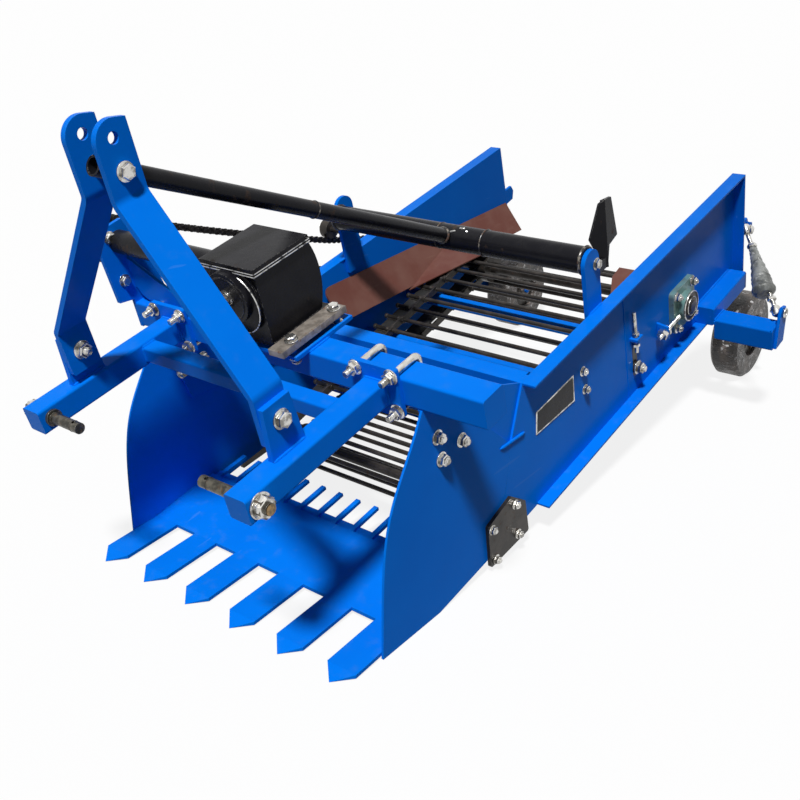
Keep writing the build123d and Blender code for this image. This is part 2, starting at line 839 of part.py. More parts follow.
foot_low = plate_low + gear_plate_thick + stud_gap
housing_low = foot_low + foot_thick
housing_top = box_top - cover_thick - seat
cover_half = box_half + seat + cover_thick
cover_front = box_front + seat + cover_thick
cover_back = box_back + seat + cover_thick
with BuildPart() as gearbox:
    with BuildSketch(side(-foot_half)):
        with Locations(((foot_back - foot_front) / 2, foot_low + foot_thick / 2)):
            Rectangle(foot_back + foot_front, foot_thick)
    extrude(amount=2 * foot_half)
    with BuildSketch(side(-box_half)):
        with BuildLine():
            Polyline(
                (box_back, housing_low), (-box_front, housing_low),
                (-box_front, housing_top), (box_back, housing_top),
            )
            ThreePointArc(
                (box_back, housing_top),
                (box_back + box_bulge, 0.4 * housing_low + 0.6 * housing_top),
                (box_back, housing_low),
            )
        make_face()
    extrude(amount=2 * box_half)
    with BuildSketch(section(-box_front - boss_reach, input_up)):
        Circle(boss_dia / 2)
    extrude(amount=boss_reach + 10)
    with BuildSketch(section(-box_front - boss_rim, input_up)):
        Circle(boss_dia / 2 + 12)
    extrude(amount=boss_rim)
    with BuildSketch(side(-cover_half - seat)):
        with Locations((-box_front, box_top - cover_lip - seat)):
            Rectangle(cover_front + seat - box_front, 2 * cover_lip,
                      align=(Align.MAX, Align.MIN))
    extrude(amount=2 * (cover_half + seat), mode=Mode.SUBTRACT)
    with BuildSketch(section(-box_front - boss_reach, input_up)):
        Circle(input_dia / 2 + shaft_clear)
    extrude(amount=input_seat, mode=Mode.SUBTRACT)
save(gearbox, "gearbox")

with BuildPart() as gearbox_cover:
    with BuildSketch(side(-cover_half)):
        with Locations(((cover_back - cover_front) / 2, box_top)):
            Rectangle(cover_back + cover_front, cover_lip, align=(Align.CENTER, Align.MAX))
    extrude(amount=2 * cover_half)
    with BuildSketch(side(-box_half - seat)):
        with Locations(((box_back - box_front) / 2, box_top - cover_thick)):
            Rectangle(box_back + box_front + 2 * seat, 4 * cover_lip,
                      align=(Align.CENTER, Align.MAX))
    extrude(amount=2 * (box_half + seat), mode=Mode.SUBTRACT)
    with BuildSketch(side(-cover_half)):
        with Locations((cover_back, box_top - cover_thick)):
            Rectangle(4 * cover_thick, 4 * cover_lip, align=(Align.CENTER, Align.MAX))
    extrude(amount=2 * cover_half, mode=Mode.SUBTRACT)
save(gearbox_cover, "gearbox_cover")

with BuildPart() as input_shaft:
    with BuildSketch(section(-box_front - boss_reach - input_reach, input_up)):
        Circle(input_dia / 2)
        with PolarLocations(input_dia / 2, 6):
            Rectangle(spline_deep * 2, spline_wide, mode=Mode.SUBTRACT)
    extrude(amount=input_reach - shaft_clear * 40)
    with BuildSketch(section(-box_front - boss_reach - shaft_clear * 40, input_up)):
        Circle(input_dia / 2)
    extrude(amount=shaft_clear * 40 + input_seat - 1)
save(input_shaft, "input_shaft")

# Output tube to the chain sprocket, and the bracket that stands on the beam
bracket_x = -beam_right
bracket_thick = 10.0
with BuildPart() as output_housing:
    with BuildSketch(side(-box_half)):
        with Locations((output_back, output_up)):
            Circle(output_dia / 2)
    extrude(amount=bracket_x + box_half)
save(output_housing, "output_housing")

with BuildPart() as shaft_bracket:
    with BuildSketch(side(bracket_x - bracket_thick)):
        with BuildLine():
            Polyline(
                (-31.0, -plate_low), (30.0, -plate_low), (57.0, 21.0), (42.0, 120.0),
                (12.0, 214.0), (-45.0, 211.0), (-68.0, 176.0), (-65.0, 47.0), (-29.0, 38.0),
                close=True,
            )
        make_face()
        fillet(vertices().sort_by(Axis.Y)[-3:], 12)
    extrude(amount=bracket_thick)
save(shaft_bracket, "shaft_bracket")

# Chain drive: sprockets, idler and the chain as one band
with BuildPart() as drive_sprocket:
    with BuildSketch(side(chain_x - 5)):
        with Locations((output_back, output_up)):
            Circle(front_sprocket - chain_height / 2 - seat)
    extrude(amount=10)
    with BuildSketch(side(chain_x - 12)):
        with Locations((output_back, output_up)):
            Circle(20)
    extrude(amount=bracket_x - bracket_thick - chain_x + 12)
save(drive_sprocket, "drive_sprocket")

with BuildPart() as driven_sprocket:
    with BuildSketch(side(chain_x - 5)):
        with Locations((drive_axis_back, -drive_axis_down)):
            Circle(rear_sprocket - chain_height / 2 - seat)
            Circle(drive_shaft_dia / 2 + seat, mode=Mode.SUBTRACT)
    extrude(amount=10)
save(driven_sprocket, "driven_sprocket")

front_centre = (output_back, output_up)
rear_centre = (drive_axis_back, -drive_axis_down)
run_turn = atan2(rear_centre[1] - front_centre[1], rear_centre[0] - front_centre[0])
run_span = hypot(rear_centre[0] - front_centre[0], rear_centre[1] - front_centre[1])
rise = (front_sprocket - rear_sprocket) / run_span
upper_turn = run_turn + pi / 2 - atan2(-rise, 1)
lower_turn = run_turn - pi / 2 + atan2(-rise, 1)


def on_circle(centre, radius, turn):
    return (centre[0] + radius * cos(turn), centre[1] + radius * sin(turn))


idler_under = idler_dia / 2 + chain_height / 2 + seat
with BuildPart() as drive_chain:
    with BuildSketch(side(chain_x - chain_width / 2)):
        for grow, mode in ((chain_height / 2, Mode.ADD), (-chain_height / 2, Mode.SUBTRACT)):
            f_up = on_circle(front_centre, front_sprocket + grow, upper_turn)
            f_low = on_circle(front_centre, front_sprocket + grow, lower_turn)
            f_far = on_circle(front_centre, front_sprocket + grow, run_turn + pi)
            r_up = on_circle(rear_centre, rear_sprocket + grow, upper_turn)
            r_low = on_circle(rear_centre, rear_sprocket + grow, lower_turn)
            r_far = on_circle(rear_centre, rear_sprocket + grow, run_turn)
            under = on_circle((idler_back, -idler_down), idler_under - grow, upper_turn + pi)
            with BuildLine():
                ThreePointArc(f_low, f_far, f_up)
                Line(f_up, under)
                Line(under, r_up)
                ThreePointArc(r_up, r_far, r_low)
                Line(r_low, f_low)
            make_face(mode=mode)
    extrude(amount=chain_width)
save(drive_chain, "drive_chain")

with BuildPart() as chain_idler:
    with BuildSketch(side(chain_x - 12)):
        with Locations((idler_back, -idler_down)):
            Circle(idler_dia / 2)
    extrude(amount=24)
    with BuildSketch(side(chain_x + 12)):
        with Locations((idler_back, -idler_down)):
            Circle(9)
    extrude(amount=-shell_inner - chain_x - 12)
save(chain_idler, "chain_idler")

# Wheel carriers, bars, forks and wheels
with BuildPart() as wheel_carriers:
    with BuildSketch(section(carrier_front, -carrier_top - arm_bar / 2, shell_half + arm_bar / 2)):
        RectangleRounded(arm_bar, arm_bar, tube_corner)
    extrude(amount=carrier_rear - carrier_front)
    mirror(about=Plane.YZ)
save(wheel_carriers, "wheel_carriers")

axle_at = framed(wheel_back, wheel_dia / 2)
swing_x = wheel_x + wheel_width / 2 + swing_gap
bar_mid = wheel_bar_front + wheel_bar_size / 2
bar_start = shell_half + arm_bar
with BuildPart() as wheel_arm_left:
    with BuildSketch(side(bar_start)):
        with Locations((bar_mid, -wheel_bar_up)):
            RectangleRounded(wheel_bar_size, wheel_bar_size, tube_corner)
    extrude(amount=wheel_bar_end - bar_start)
    with BuildSketch(side(swing_x)):
        with Locations(((bar_mid + axle_at[0]) / 2, (axle_at[1] - wheel_bar_up) / 2)):
            SlotCenterToCenter(
                hypot(bar_mid - axle_at[0], wheel_bar_up + axle_at[1]), swing_width,
                rotation=degrees(atan2(axle_at[1] + wheel_bar_up, axle_at[0] - bar_mid)),
            )
    extrude(amount=swing_thick)
    with BuildSketch(side(wheel_x - wheel_width / 2 - swing_gap / 2)):
        with Locations(axle_at):
            Circle(axle_dia / 2)
    extrude(amount=wheel_width + 1.5 * swing_gap + swing_thick)
    with BuildSketch(side(swing_x - swing_gap / 2)):
        with Locations(axle_at):
            Circle(axle_dia / 2 + 6)
    extrude(amount=swing_gap / 2)
with BuildPart() as wheel_arm_right:
    mirror(wheel_arm_left.part, about=Plane.YZ)
save(wheel_arm_left, "wheel_arm_left")
save(wheel_arm_right, "wheel_arm_right")

with BuildPart() as wheel_left:
    with BuildSketch(Plane(origin=world(wheel_x, *axle_at), x_dir=(0, 1, 0), z_dir=(0, 0, 1))):
        with BuildLine():
            Polyline(
                (axle_dia / 2 + shaft_clear, -wheel_width / 2),
                (wheel_hub_dia / 2, -wheel_width / 2),
                (wheel_hub_dia / 2, -wheel_width / 2 + wheel_dish),
                (wheel_rim_dia / 2, -wheel_width / 2 + wheel_dish),
                (wheel_rim_dia / 2, -wheel_width / 2),
                (wheel_dia / 2 - tread_round, -wheel_width / 2),
                (wheel_dia / 2, -wheel_width / 2 + tread_round),
                (wheel_dia / 2, wheel_width / 2 - tread_round),
                (wheel_dia / 2 - tread_round, wheel_width / 2),
                (wheel_rim_dia / 2, wheel_width / 2),
                (wheel_rim_dia / 2, wheel_width / 2 - wheel_dish),
                (wheel_hub_dia / 2, wheel_width / 2 - wheel_dish),
                (wheel_hub_dia / 2, wheel_width / 2),
                (axle_dia / 2 + shaft_clear, wheel_width / 2),
                close=True,
            )
        make_face()
    revolve(axis=Axis(origin=world(wheel_x, *axle_at), direction=(1, 0, 0)))
with BuildPart() as wheel_right:
    mirror(wheel_left.part, about=Plane.YZ)
save(wheel_left, "wheel_left")
save(wheel_right, "wheel_right")

# Screw links from the panels' rear edge down to the wheel bars
link_top = world(link_top_x, link_top_back, -link_top_down)
link_low = world(wheel_bar_end - link_dia / 2 - seat, bar_mid, -link_low_down)
link_run = link_low - link_top
bar_top = wheel_bar_size / 2 - wheel_bar_up
with BuildPart() as screw_links:
    with BuildSketch(Plane(origin=link_top, z_dir=link_run.normalized())):
        Circle(link_dia / 2)
    extrude(amount=link_run.length)
    with BuildSketch(section(panel_rear, -link_top_down, link_top_x)):
        RectangleRounded(link_lug_thick * 2, link_lug_tall, 4)
    extrude(amount=link_top_back - panel_rear + link_dia)
    with BuildSketch(side(wheel_bar_end)):
        with Locations((bar_mid, bar_top)):
            Rectangle(link_lug_wide, -link_low_down - bar_top + link_dia,
                      align=(Align.CENTER, Align.MIN))
        with Locations((bar_mid, bar_top)):
            Rectangle(link_lug_wide, wheel_bar_size, align=(Align.CENTER, Align.MAX))
    extrude(amount=link_lug_thick)
    with BuildSketch(side(wheel_bar_end - link_dia / 2)):
        with Locations((bar_mid, -link_low_down)):
            Circle(link_dia / 2)
    extrude(amount=link_lug_thick + link_dia)
    mirror(about=Plane.YZ)
save(screw_links, "screw_links")
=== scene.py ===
"""Looks of the mounted potato harvester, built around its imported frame."""

import math
import random

import bmesh
import bpy
from bpy.props import FloatProperty, FloatVectorProperty, IntProperty, PointerProperty
from mathutils import Matrix, Vector
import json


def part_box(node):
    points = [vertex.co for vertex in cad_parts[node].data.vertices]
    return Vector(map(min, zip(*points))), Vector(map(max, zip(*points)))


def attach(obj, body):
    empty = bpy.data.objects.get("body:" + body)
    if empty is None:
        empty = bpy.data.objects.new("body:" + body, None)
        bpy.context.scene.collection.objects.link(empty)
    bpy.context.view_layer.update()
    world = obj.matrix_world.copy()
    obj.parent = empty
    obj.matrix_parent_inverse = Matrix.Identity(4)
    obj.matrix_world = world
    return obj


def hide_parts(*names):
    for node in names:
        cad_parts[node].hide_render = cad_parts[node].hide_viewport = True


bl_info = {
    "name": "Potato harvester looks",
    "version": (1, 0, 0),
    "blender": (4, 5, 0),
    "location": "View3D > Sidebar > Harvester",
    "description": "Paint, fasteners, chain, welds and studio for the packed potato harvester",
    "category": "Object",
}

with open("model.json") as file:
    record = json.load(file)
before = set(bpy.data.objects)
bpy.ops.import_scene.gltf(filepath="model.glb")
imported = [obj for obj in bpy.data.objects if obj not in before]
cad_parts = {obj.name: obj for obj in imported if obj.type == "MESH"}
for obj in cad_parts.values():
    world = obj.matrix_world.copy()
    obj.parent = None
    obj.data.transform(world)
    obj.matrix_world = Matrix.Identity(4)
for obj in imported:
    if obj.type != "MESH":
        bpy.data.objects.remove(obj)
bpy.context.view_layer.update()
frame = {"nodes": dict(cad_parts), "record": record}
MM = 0.001

# The leaning frame: side view origin on the crossbeam's axis
LEAN = math.radians(12.3)
LEAN_COS, LEAN_SIN = math.cos(LEAN), math.sin(LEAN)
BEAM_LOW, BEAM_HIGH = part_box("crossbeam")
BEAM_Y = (BEAM_LOW.y + BEAM_HIGH.y) / 2
BEAM_Z = (BEAM_LOW.z + BEAM_HIGH.z) / 2
ACROSS = Vector((1, 0, 0))
BACK = Vector((0, LEAN_COS, LEAN_SIN))
UP = Vector((0, -LEAN_SIN, LEAN_COS))


def at(x, back, up):
    """Point of the leaning frame, given in millimetres, in metres of the machine."""
    return Vector((x * MM, BEAM_Y, BEAM_Z)) + BACK * (back * MM) + UP * (up * MM)


def level(x, back, height):
    """Point at a distance behind the crossbeam and a height, in millimetres."""
    return Vector((x * MM, BEAM_Y + back * MM, height * MM))


# ---------------------------------------------------------------- shader maths


class Sock:
    """A shader socket that takes part in Python arithmetic on numbers."""

    def __init__(self, shader, socket):
        self.shader = shader
        self.socket = socket

    def _math(self, operation, *values, clamp=False):
        node = self.shader.node(
            "ShaderNodeMath", {"operation": operation, "use_clamp": clamp},
            dict(enumerate(values)),
        )
        return Sock(self.shader, node.outputs[0])

    def __add__(self, other):
        return self._math("ADD", self, other)

    __radd__ = __add__

    def __sub__(self, other):
        return self._math("SUBTRACT", self, other)

    def __rsub__(self, other):
        return self._math("SUBTRACT", other, self)

    def __mul__(self, other):
        return self._math("MULTIPLY", self, other)

    __rmul__ = __mul__

    def clipped(self):
        return self._math("ADD", self, 0.0, clamp=True)

    def between(self, low, high):
        """0 below low, 1 above high, smooth in between."""
        node = self.shader.node(
            "ShaderNodeMapRange", {"interpolation_type": "SMOOTHSTEP"},
            {0: self, 1: low, 2: high, 3: 0.0, 4: 1.0},
        )
        return Sock(self.shader, node.outputs[0])


class Shader:
    """An emptied node tree that takes nodes one by one."""

    def __init__(self, owner):
        owner.use_nodes = True
        self.tree = owner.node_tree
        self.tree.nodes.clear()

    def node(self, kind, settings=None, values=None):
        made = self.tree.nodes.new(kind)
        for key, value in (settings or {}).items():
            setattr(made, key, value)
        for key, value in (values or {}).items():
            if isinstance(value, Sock):
                self.tree.links.new(value.socket, made.inputs[key])
            elif isinstance(value, bpy.types.NodeSocket):
                self.tree.links.new(value, made.inputs[key])
            else:
                made.inputs[key].default_value = value
        return made

    def join(self, outlet, inlet):
        self.tree.links.new(outlet, inlet)


class Finish(Shader):
    """One procedural material, written as expressions."""

    def __init__(self, name):
        self.material = bpy.data.materials.new(name)
        super().__init__(self.material)
        self.output = self.node("ShaderNodeOutputMaterial")
        self.place = self.node("ShaderNodeTexCoord").outputs["Object"]

    def noise(self, scale, detail=3.0, roughness=0.55, stretch=(1, 1, 1), offset=(0, 0, 0)):
        spot = self.node(
            "ShaderNodeMapping", None,
            {"Vector": self.place, "Scale": stretch, "Location": offset},
        ).outputs[0]
        made = self.node(
            "ShaderNodeTexNoise", None,
            {"Vector": spot, "Scale": scale, "Detail": detail, "Roughness": roughness},
        )
        return Sock(self, made.outputs[0])

    def spots(self, scale, detail, low, high, **where):
        """0 where the noise is below low, 1 where it is above high."""
        return self.noise(scale, detail, **where).between(low, high)

    def mix(self, factor, first, second):
        """Colour between two colours."""
        made = self.node(
            "ShaderNodeMix", {"data_type": "RGBA"},
            {0: factor, 6: self.colour(first), 7: self.colour(second)},
        )
        return made.outputs[2]

    def lay(self, mask, colour):
        """Lays a colour over the base where the mask is 1."""
        self.base = self.mix(mask, self.base, colour)

    def patches(self, scale, detail, low, high, first, second):
        """Base of two colours in patches; gives back the noise behind them."""
        noise = self.noise(scale, detail)
        self.base = self.mix(noise.between(low, high), first, second)
        return noise

    @staticmethod
    def colour(value):
        return value if isinstance(value, bpy.types.NodeSocket) else (*value, 1.0)

    def rounded(self, radius):
        """Normal of the surface with its edges rounded by the radius, in metres."""
        return self.node(
            "ShaderNodeBevel", {"samples": 4}, {"Radius": radius}
        ).outputs[0]

    def edges(self, radius):
        """1 along edges, 0 on flat faces."""
        geometry = self.node("ShaderNodeNewGeometry").outputs["Normal"]
        dot = self.node(
            "ShaderNodeVectorMath", {"operation": "DOT_PRODUCT"},
            {0: self.rounded(radius), 1: geometry},
        )
        return (1.0 - Sock(self, dot.outputs["Value"])).between(0.01, 0.18)

    def upward(self):
        """1 where the surface faces up."""
        geometry = self.node("ShaderNodeNewGeometry").outputs["Normal"]
        split = self.node("ShaderNodeSeparateXYZ", None, {0: geometry})
        return Sock(self, split.outputs[2]).between(0.2, 0.95)

    def rearward(self):
        """0 at the hitch, 1 at the rear end."""
        split = self.node("ShaderNodeSeparateXYZ", None, {0: self.place})
        return Sock(self, split.outputs[1]).between(-0.35, 0.85)

    def bump(self, height, strength, distance, normal=None):
        values = {"Height": height, "Strength": strength, "Distance": distance}
        if normal is not None:
            values["Normal"] = normal
        return self.node("ShaderNodeBump", None, values).outputs[0]

    def grain(self, scale, detail, strength, distance, radius=None):
        """Normal with fine noise on it, over edges rounded by the radius."""
        normal = self.rounded(radius) if radius else None
        return self.bump(self.noise(scale, detail), strength, distance, normal)

    def finish(self, roughness, metallic, normal, **sockets):
        """Joins the base colour and the rest to a Principled shader."""
        values = {"Base Color": self.base, "Roughness": roughness, "Metallic": metallic,
                  "Normal": normal}
        for key, value in sockets.items():
            values[key.replace("_", " ").title().replace("Ior", "IOR")] = value
        shader = self.node("ShaderNodeBsdfPrincipled", None, values)
        self.join(shader.outputs[0], self.output.inputs[0])
        return self.material


# ------------------------------------------------------------------- settings


class HarvesterColours(bpy.types.PropertyGroup):
    """Colours of the finishes."""

    blue: FloatVectorProperty(
        name="Blue paint", description="Gloss blue of frame, shields and side panels",
        subtype="COLOR", size=3, min=0, max=1, default=(0.001, 0.2, 0.86),
    )
    deep_blue: FloatVectorProperty(
        name="Thick paint", description="Blue where the paint lies thicker",
        subtype="COLOR", size=3, min=0, max=1, default=(0.001, 0.16, 0.76),
    )
    black: FloatVectorProperty(
        name="Black paint", description="Gloss black of gearbox, brace and cross tube",
        subtype="COLOR", size=3, min=0, max=1, default=(0.007, 0.007, 0.01),
    )
    zinc: FloatVectorProperty(
        name="Zinc", description="Plated bolts, nuts and U-bolts",
        subtype="COLOR", size=3, min=0, max=1, default=(0.78, 0.77, 0.74),
    )
    steel: FloatVectorProperty(
        name="Bare steel", description="Rods, chain and shafts",
        subtype="COLOR", size=3, min=0, max=1, default=(0.03, 0.027, 0.024),
    )
    iron: FloatVectorProperty(
        name="Bearing iron", description="Cast housings of the shaft bearings",
        subtype="COLOR", size=3, min=0, max=1, default=(0.15, 0.29, 0.28),
    )
    strip: FloatVectorProperty(
        name="Brown rubber", description="Deflector strips along the web",
        subtype="COLOR", size=3, min=0, max=1, default=(0.125, 0.042, 0.031),
    )
    tyre: FloatVectorProperty(
        name="Wheel rubber", description="Solid rubber of the wheels",
        subtype="COLOR", size=3, min=0, max=1, default=(0.022, 0.021, 0.021),
    )
    floor: FloatVectorProperty(
        name="Floor", description="Pale studio floor",
        subtype="COLOR", size=3, min=0, max=1, default=(0.13, 0.13, 0.13),
    )


class HarvesterSizes(bpy.types.PropertyGroup):
    """Sizes of the pieces that the looks add."""

    u_bolt: FloatProperty(
        name="U-bolt thread", description="Thread of the clamp bolts, in millimetres",
        default=14.0, min=6.0, max=24.0,
    )
    mast_bolt: FloatProperty(
        name="Mast bolt", description="Thread of the mast bolts, in millimetres",
        default=16.0, min=8.0, max=30.0,
    )
    plate_bolt: FloatProperty(
        name="Plate bolt", description="Thread of the bolts in plates, in millimetres",
        default=12.0, min=5.0, max=20.0,
    )
    weld: FloatProperty(
        name="Weld seam", description="Radius of a weld seam, in millimetres",
        default=3.0, min=1.0, max=8.0,
    )
    chain_pitch: FloatProperty(
        name="Chain pitch", description="Pitch of the roller chain, in millimetres",
        default=19.05, min=8.0, max=25.4,
    )
    chain_sag: FloatProperty(
        name="Chain sag", description="Sag of the chain's upper run, in millimetres",
        default=7.0, min=0.0, max=20.0,
    )
    facets: IntProperty(
        name="Facets", description="Sides of a turned piece", default=28, min=12, max=64,
    )


def sizes():
    return bpy.context.scene.harvester_sizes


def colours():
    return bpy.context.scene.harvester_colours


# ------------------------------------------------------------------- finishes


def blue_paint():
    paint = Finish("blue_gloss_paint")
    tone = colours()
    drift = paint.noise(5.0, 4.0)
    paint.base = paint.mix((drift * 1.5 - 0.25).clipped(), tone.deep_blue, tone.blue)
    # Painted shade: the blue darkens towards the rear end, where less light falls.
    paint.lay(paint.rearward() * 0.42, (0.001, 0.07, 0.36))
    runs = paint.noise(9.0, 3.0, stretch=(1, 1, 0.25), offset=(3, 1, 0))
    paint.lay(runs.between(0.55, 0.8) * 0.2, (0.001, 0.2, 0.86))
    edge = paint.edges(0.0016)
    paint.lay(edge * 0.3, (0.006, 0.26, 0.9))
    chips = edge * paint.spots(260.0, 2.0, 0.6, 0.68)
    paint.lay(chips * 0.6, (0.06, 0.06, 0.065))
    dust = paint.upward() * paint.spots(34.0, 6.0, 0.52, 0.78) * 0.12
    paint.lay(dust, (0.12, 0.24, 0.5))
    scratch = paint.spots(60.0, 1.0, 0.745, 0.76, stretch=(1, 0.06, 1), offset=(0, 5, 2))
    paint.lay(scratch * 0.18, (0.1, 0.3, 0.8))
    soft = paint.grain(420.0, 2.0, 0.05, 0.0006, 0.0012)
    dented = paint.bump(paint.noise(14.0, 2.0), 0.07, 0.004, soft)
    rough = 0.26 + dust * 0.9 + chips * 0.25 + paint.noise(45.0, 4.0) * 0.08
    return paint.finish(rough, 0.0, dented, specular_ior_level=0.025,
                        specular_tint=(0.3, 0.6, 1.0, 1.0))


def black_paint():
    paint = Finish("black_gloss_paint")
    paint.patches(8.0, 4.0, 0.35, 0.7, colours().black, (0.014, 0.014, 0.016))
    edge = paint.edges(0.0018)
    chips = edge * paint.spots(210.0, 2.0, 0.48, 0.6)
    paint.lay(chips * 0.75, (0.3, 0.29, 0.27))
    rust = paint.spots(36.0, 6.0, 0.62, 0.72, offset=(4, 2, 8))
    paint.lay(rust * 0.35, (0.09, 0.055, 0.035))
    dust = paint.upward() * paint.spots(42.0, 6.0, 0.42, 0.75) * 0.07
    paint.lay(dust, (0.12, 0.115, 0.11))
    soft = paint.grain(300.0, 3.0, 0.1, 0.0008, 0.0015)
    cast = paint.bump(paint.noise(22.0, 3.0), 0.16, 0.004, soft)
    rough = 0.2 + dust * 0.8 + rust * 0.3 + paint.noise(30.0, 4.0) * 0.14
    return paint.finish(rough, 0.0, cast, specular_ior_level=0.1)


def scuffed_black():
    paint = Finish("scuffed_black_paint")
    bare = paint.spots(95.0, 4.0, 0.5, 0.6)
    paint.base = paint.mix(bare, (0.012, 0.012, 0.013), (0.22, 0.2, 0.17))
    rust = paint.spots(60.0, 5.0, 0.52, 0.65, offset=(5, 5, 1))
    paint.lay(rust * 0.6, (0.13, 0.06, 0.03))
    normal = paint.grain(350.0, 3.0, 0.3, 0.0008)
    return paint.finish(0.3 + rust * 0.3, bare * 0.5, normal)


def zinc_plate():
    zinc = Finish("zinc_plated_steel")
    tint = zinc.noise(55.0, 3.0)
    # Painted light and shade: faces that look up get the light zinc, side faces a darker copy of
    # it; the noise adds random tone to both.
    top = zinc.mix(tint.between(0.35, 0.65), colours().zinc, (0.62, 0.6, 0.55))
    side = zinc.mix(tint.between(0.42, 0.58), (0.24, 0.23, 0.21), (0.62, 0.61, 0.58))
    zinc.base = zinc.mix(zinc.upward(), side, top)
    stain = zinc.spots(120.0, 4.0, 0.62, 0.76, offset=(7, 0, 0))
    zinc.lay(stain * 0.5, (0.2, 0.17, 0.13))
    normal = zinc.grain(500.0, 2.0, 0.08, 0.0004, 0.0006)
    rough = 0.16 + zinc.noise(90.0, 3.0) * 0.16 + stain * 0.2
    return zinc.finish(rough, 0.95, normal)


def bronze_thread():
    metal = Finish("bronze_coloured_thread")
    tint = metal.patches(140.0, 3.0, 0.4, 0.6, (0.3, 0.2, 0.1), (0.16, 0.12, 0.07))
    normal = metal.grain(400.0, 2.0, 0.15, 0.0004)
    return metal.finish(0.38 + tint * 0.15, 0.85, normal)


def stained_pin():
    metal = Finish("stained_pin_steel")
    metal.patches(70.0, 5.0, 0.4, 0.6, (0.045, 0.043, 0.035), (0.13, 0.12, 0.095))
    rust = metal.spots(110.0, 5.0, 0.55, 0.7, offset=(3, 3, 3))
    metal.lay(rust * 0.6, (0.14, 0.07, 0.035))
    metal.lay(metal.edges(0.001) * 0.6, (0.4, 0.39, 0.36))
    normal = metal.grain(420.0, 3.0, 0.2, 0.0006, 0.0008)
    return metal.finish(0.36 + rust * 0.3, 0.7, normal)


def rubbed_and_highlight_edge():
    metal = Finish("rubbed_and_highlight_bright_edge")
    # Bright metal spots on dark: rubbed bare metal in part, and painted highlight where they stand
    # for the bright edges of the gearbox and bearing rims.
    worn_and_highlight = metal.spots(70.0, 4.0, 0.35, 0.5)
    metal.base = metal.mix(worn_and_highlight, (0.03, 0.03, 0.032), (0.62, 0.62, 0.6))
    normal = metal.grain(300.0, 3.0, 0.15, 0.0005)
    return metal.finish(0.3 + (1 - worn_and_highlight) * 0.2, worn_and_highlight * 0.85, normal)


def dark_steel():
    steel = Finish("oiled_dark_steel")
    patch = steel.patches(28.0, 5.0, 0.4, 0.65, colours().steel, (0.055, 0.048, 0.043))
    rust = steel.spots(75.0, 6.0, 0.6, 0.72, offset=(2, 9, 4))
    steel.lay(rust * 0.4, (0.11, 0.05, 0.025))
    rubbed = steel.edges(0.001) * steel.spots(130.0, 2.0, 0.4, 0.6)
    steel.lay(rubbed * 0.5, (0.36, 0.35, 0.33))
    normal = steel.grain(380.0, 3.0, 0.15, 0.0005, 0.0008)
    rough = 0.28 + rust * 0.35 + patch * 0.12
    return steel.finish(rough, 0.35, normal, specular_ior_level=0.2)


def oily_chain():
    steel = Finish("oily_chain_steel")
    patch = steel.patches(90.0, 4.0, 0.4, 0.62, (0.014, 0.013, 0.012), (0.05, 0.045, 0.04))
    normal = steel.grain(400.0, 2.0, 0.12, 0.0004)
    return steel.finish(0.24 + patch * 0.16, 0.6, normal)


def bearing_iron():
    iron = Finish("grey_green_cast_iron")
    iron.patches(32.0, 4.0, 0.35, 0.7, colours().iron, (0.14, 0.2, 0.18))
    grime = iron.spots(90.0, 5.0, 0.55, 0.72, offset=(1, 1, 6))
    iron.lay(grime * 0.55, (0.05, 0.048, 0.04))
    iron.lay(iron.edges(0.0016) * 0.45, (0.38, 0.42, 0.38))
    normal = iron.grain(420.0, 3.0, 0.3, 0.0006, 0.0016)
    return iron.finish(0.38 + grime * 0.25, 0.2, normal)


def olive_steel():
    steel = Finish("olive_grimy_steel")
    steel.patches(60.0, 5.0, 0.38, 0.62, (0.2, 0.175, 0.15), (0.34, 0.3, 0.26))
    rust = steel.spots(85.0, 5.0, 0.6, 0.72, offset=(6, 1, 2))
    steel.lay(rust * 0.7, (0.16, 0.06, 0.03))
    normal = steel.grain(330.0, 3.0, 0.25, 0.0006, 0.001)
    return steel.finish(0.48 + rust * 0.25, 0.35, normal)


def brown_rubber():
    rubber = Finish("brown_rubber_sheet")
    rubber.patches(14.0, 5.0, 0.3, 0.75, colours().strip, (0.16, 0.072, 0.055))
    scuff = rubber.spots(60.0, 3.0, 0.6, 0.78, stretch=(1, 0.12, 1))
    rubber.lay(scuff * 0.25, (0.25, 0.15, 0.12))
    rubber.lay(rubber.edges(0.0012) * 0.4, (0.07, 0.03, 0.022))
    normal = rubber.grain(520.0, 3.0, 0.25, 0.0006, 0.001)
    return rubber.finish(0.6 + scuff * 0.15, 0.0, normal, specular_ior_level=0.2)


def wheel_film():
    """Dark tyre under crumpled clear film, as the photographed wheel is."""
    rubber = Finish("film_wrapped_tyre")
    rubber.patches(20.0, 5.0, 0.35, 0.7, colours().tyre, (0.09, 0.07, 0.056))
    folds = rubber.noise(26.0, 6.0, 0.65, stretch=(1, 1, 1.6), offset=(1, 2, 3))
    # Painted sheen and glints: the film's reflections on its fold ridges are laid into the colour.
    painted_sheen = folds.between(0.53, 0.62)
    rubber.lay(painted_sheen * 0.75, (0.3, 0.25, 0.23))
    painted_glint = rubber.noise(58.0, 5.0, 0.6, offset=(8, 2, 1)).between(0.6, 0.64)
    rubber.lay(painted_glint * 0.8, (0.75, 0.74, 0.74))
    creased = rubber.bump(folds, 0.75, 0.012, rubber.rounded(0.004))
    return rubber.finish(0.24 + (1 - painted_sheen) * 0.2, 0.0, creased)


def packed_grey():
    film = Finish("grey_wrapped_sleeve")
    folds = film.noise(38.0, 5.0, 0.6, stretch=(1, 1, 0.5))
    # Painted shade and light: darker in the folds' creases, lighter on their ridges; the pale
    # streaks are painted highlights.
    film.base = film.mix(folds.between(0.4, 0.62), (0.085, 0.09, 0.085), (0.24, 0.25, 0.24))
    painted_streak = film.spots(80.0, 3.0, 0.6, 0.7, stretch=(1, 1, 0.2), offset=(2, 2, 2))
    film.lay(painted_streak * 0.5, (0.6, 0.6, 0.58))
    return film.finish(0.34 + folds * 0.1, 0.0, film.bump(folds, 0.6, 0.006))


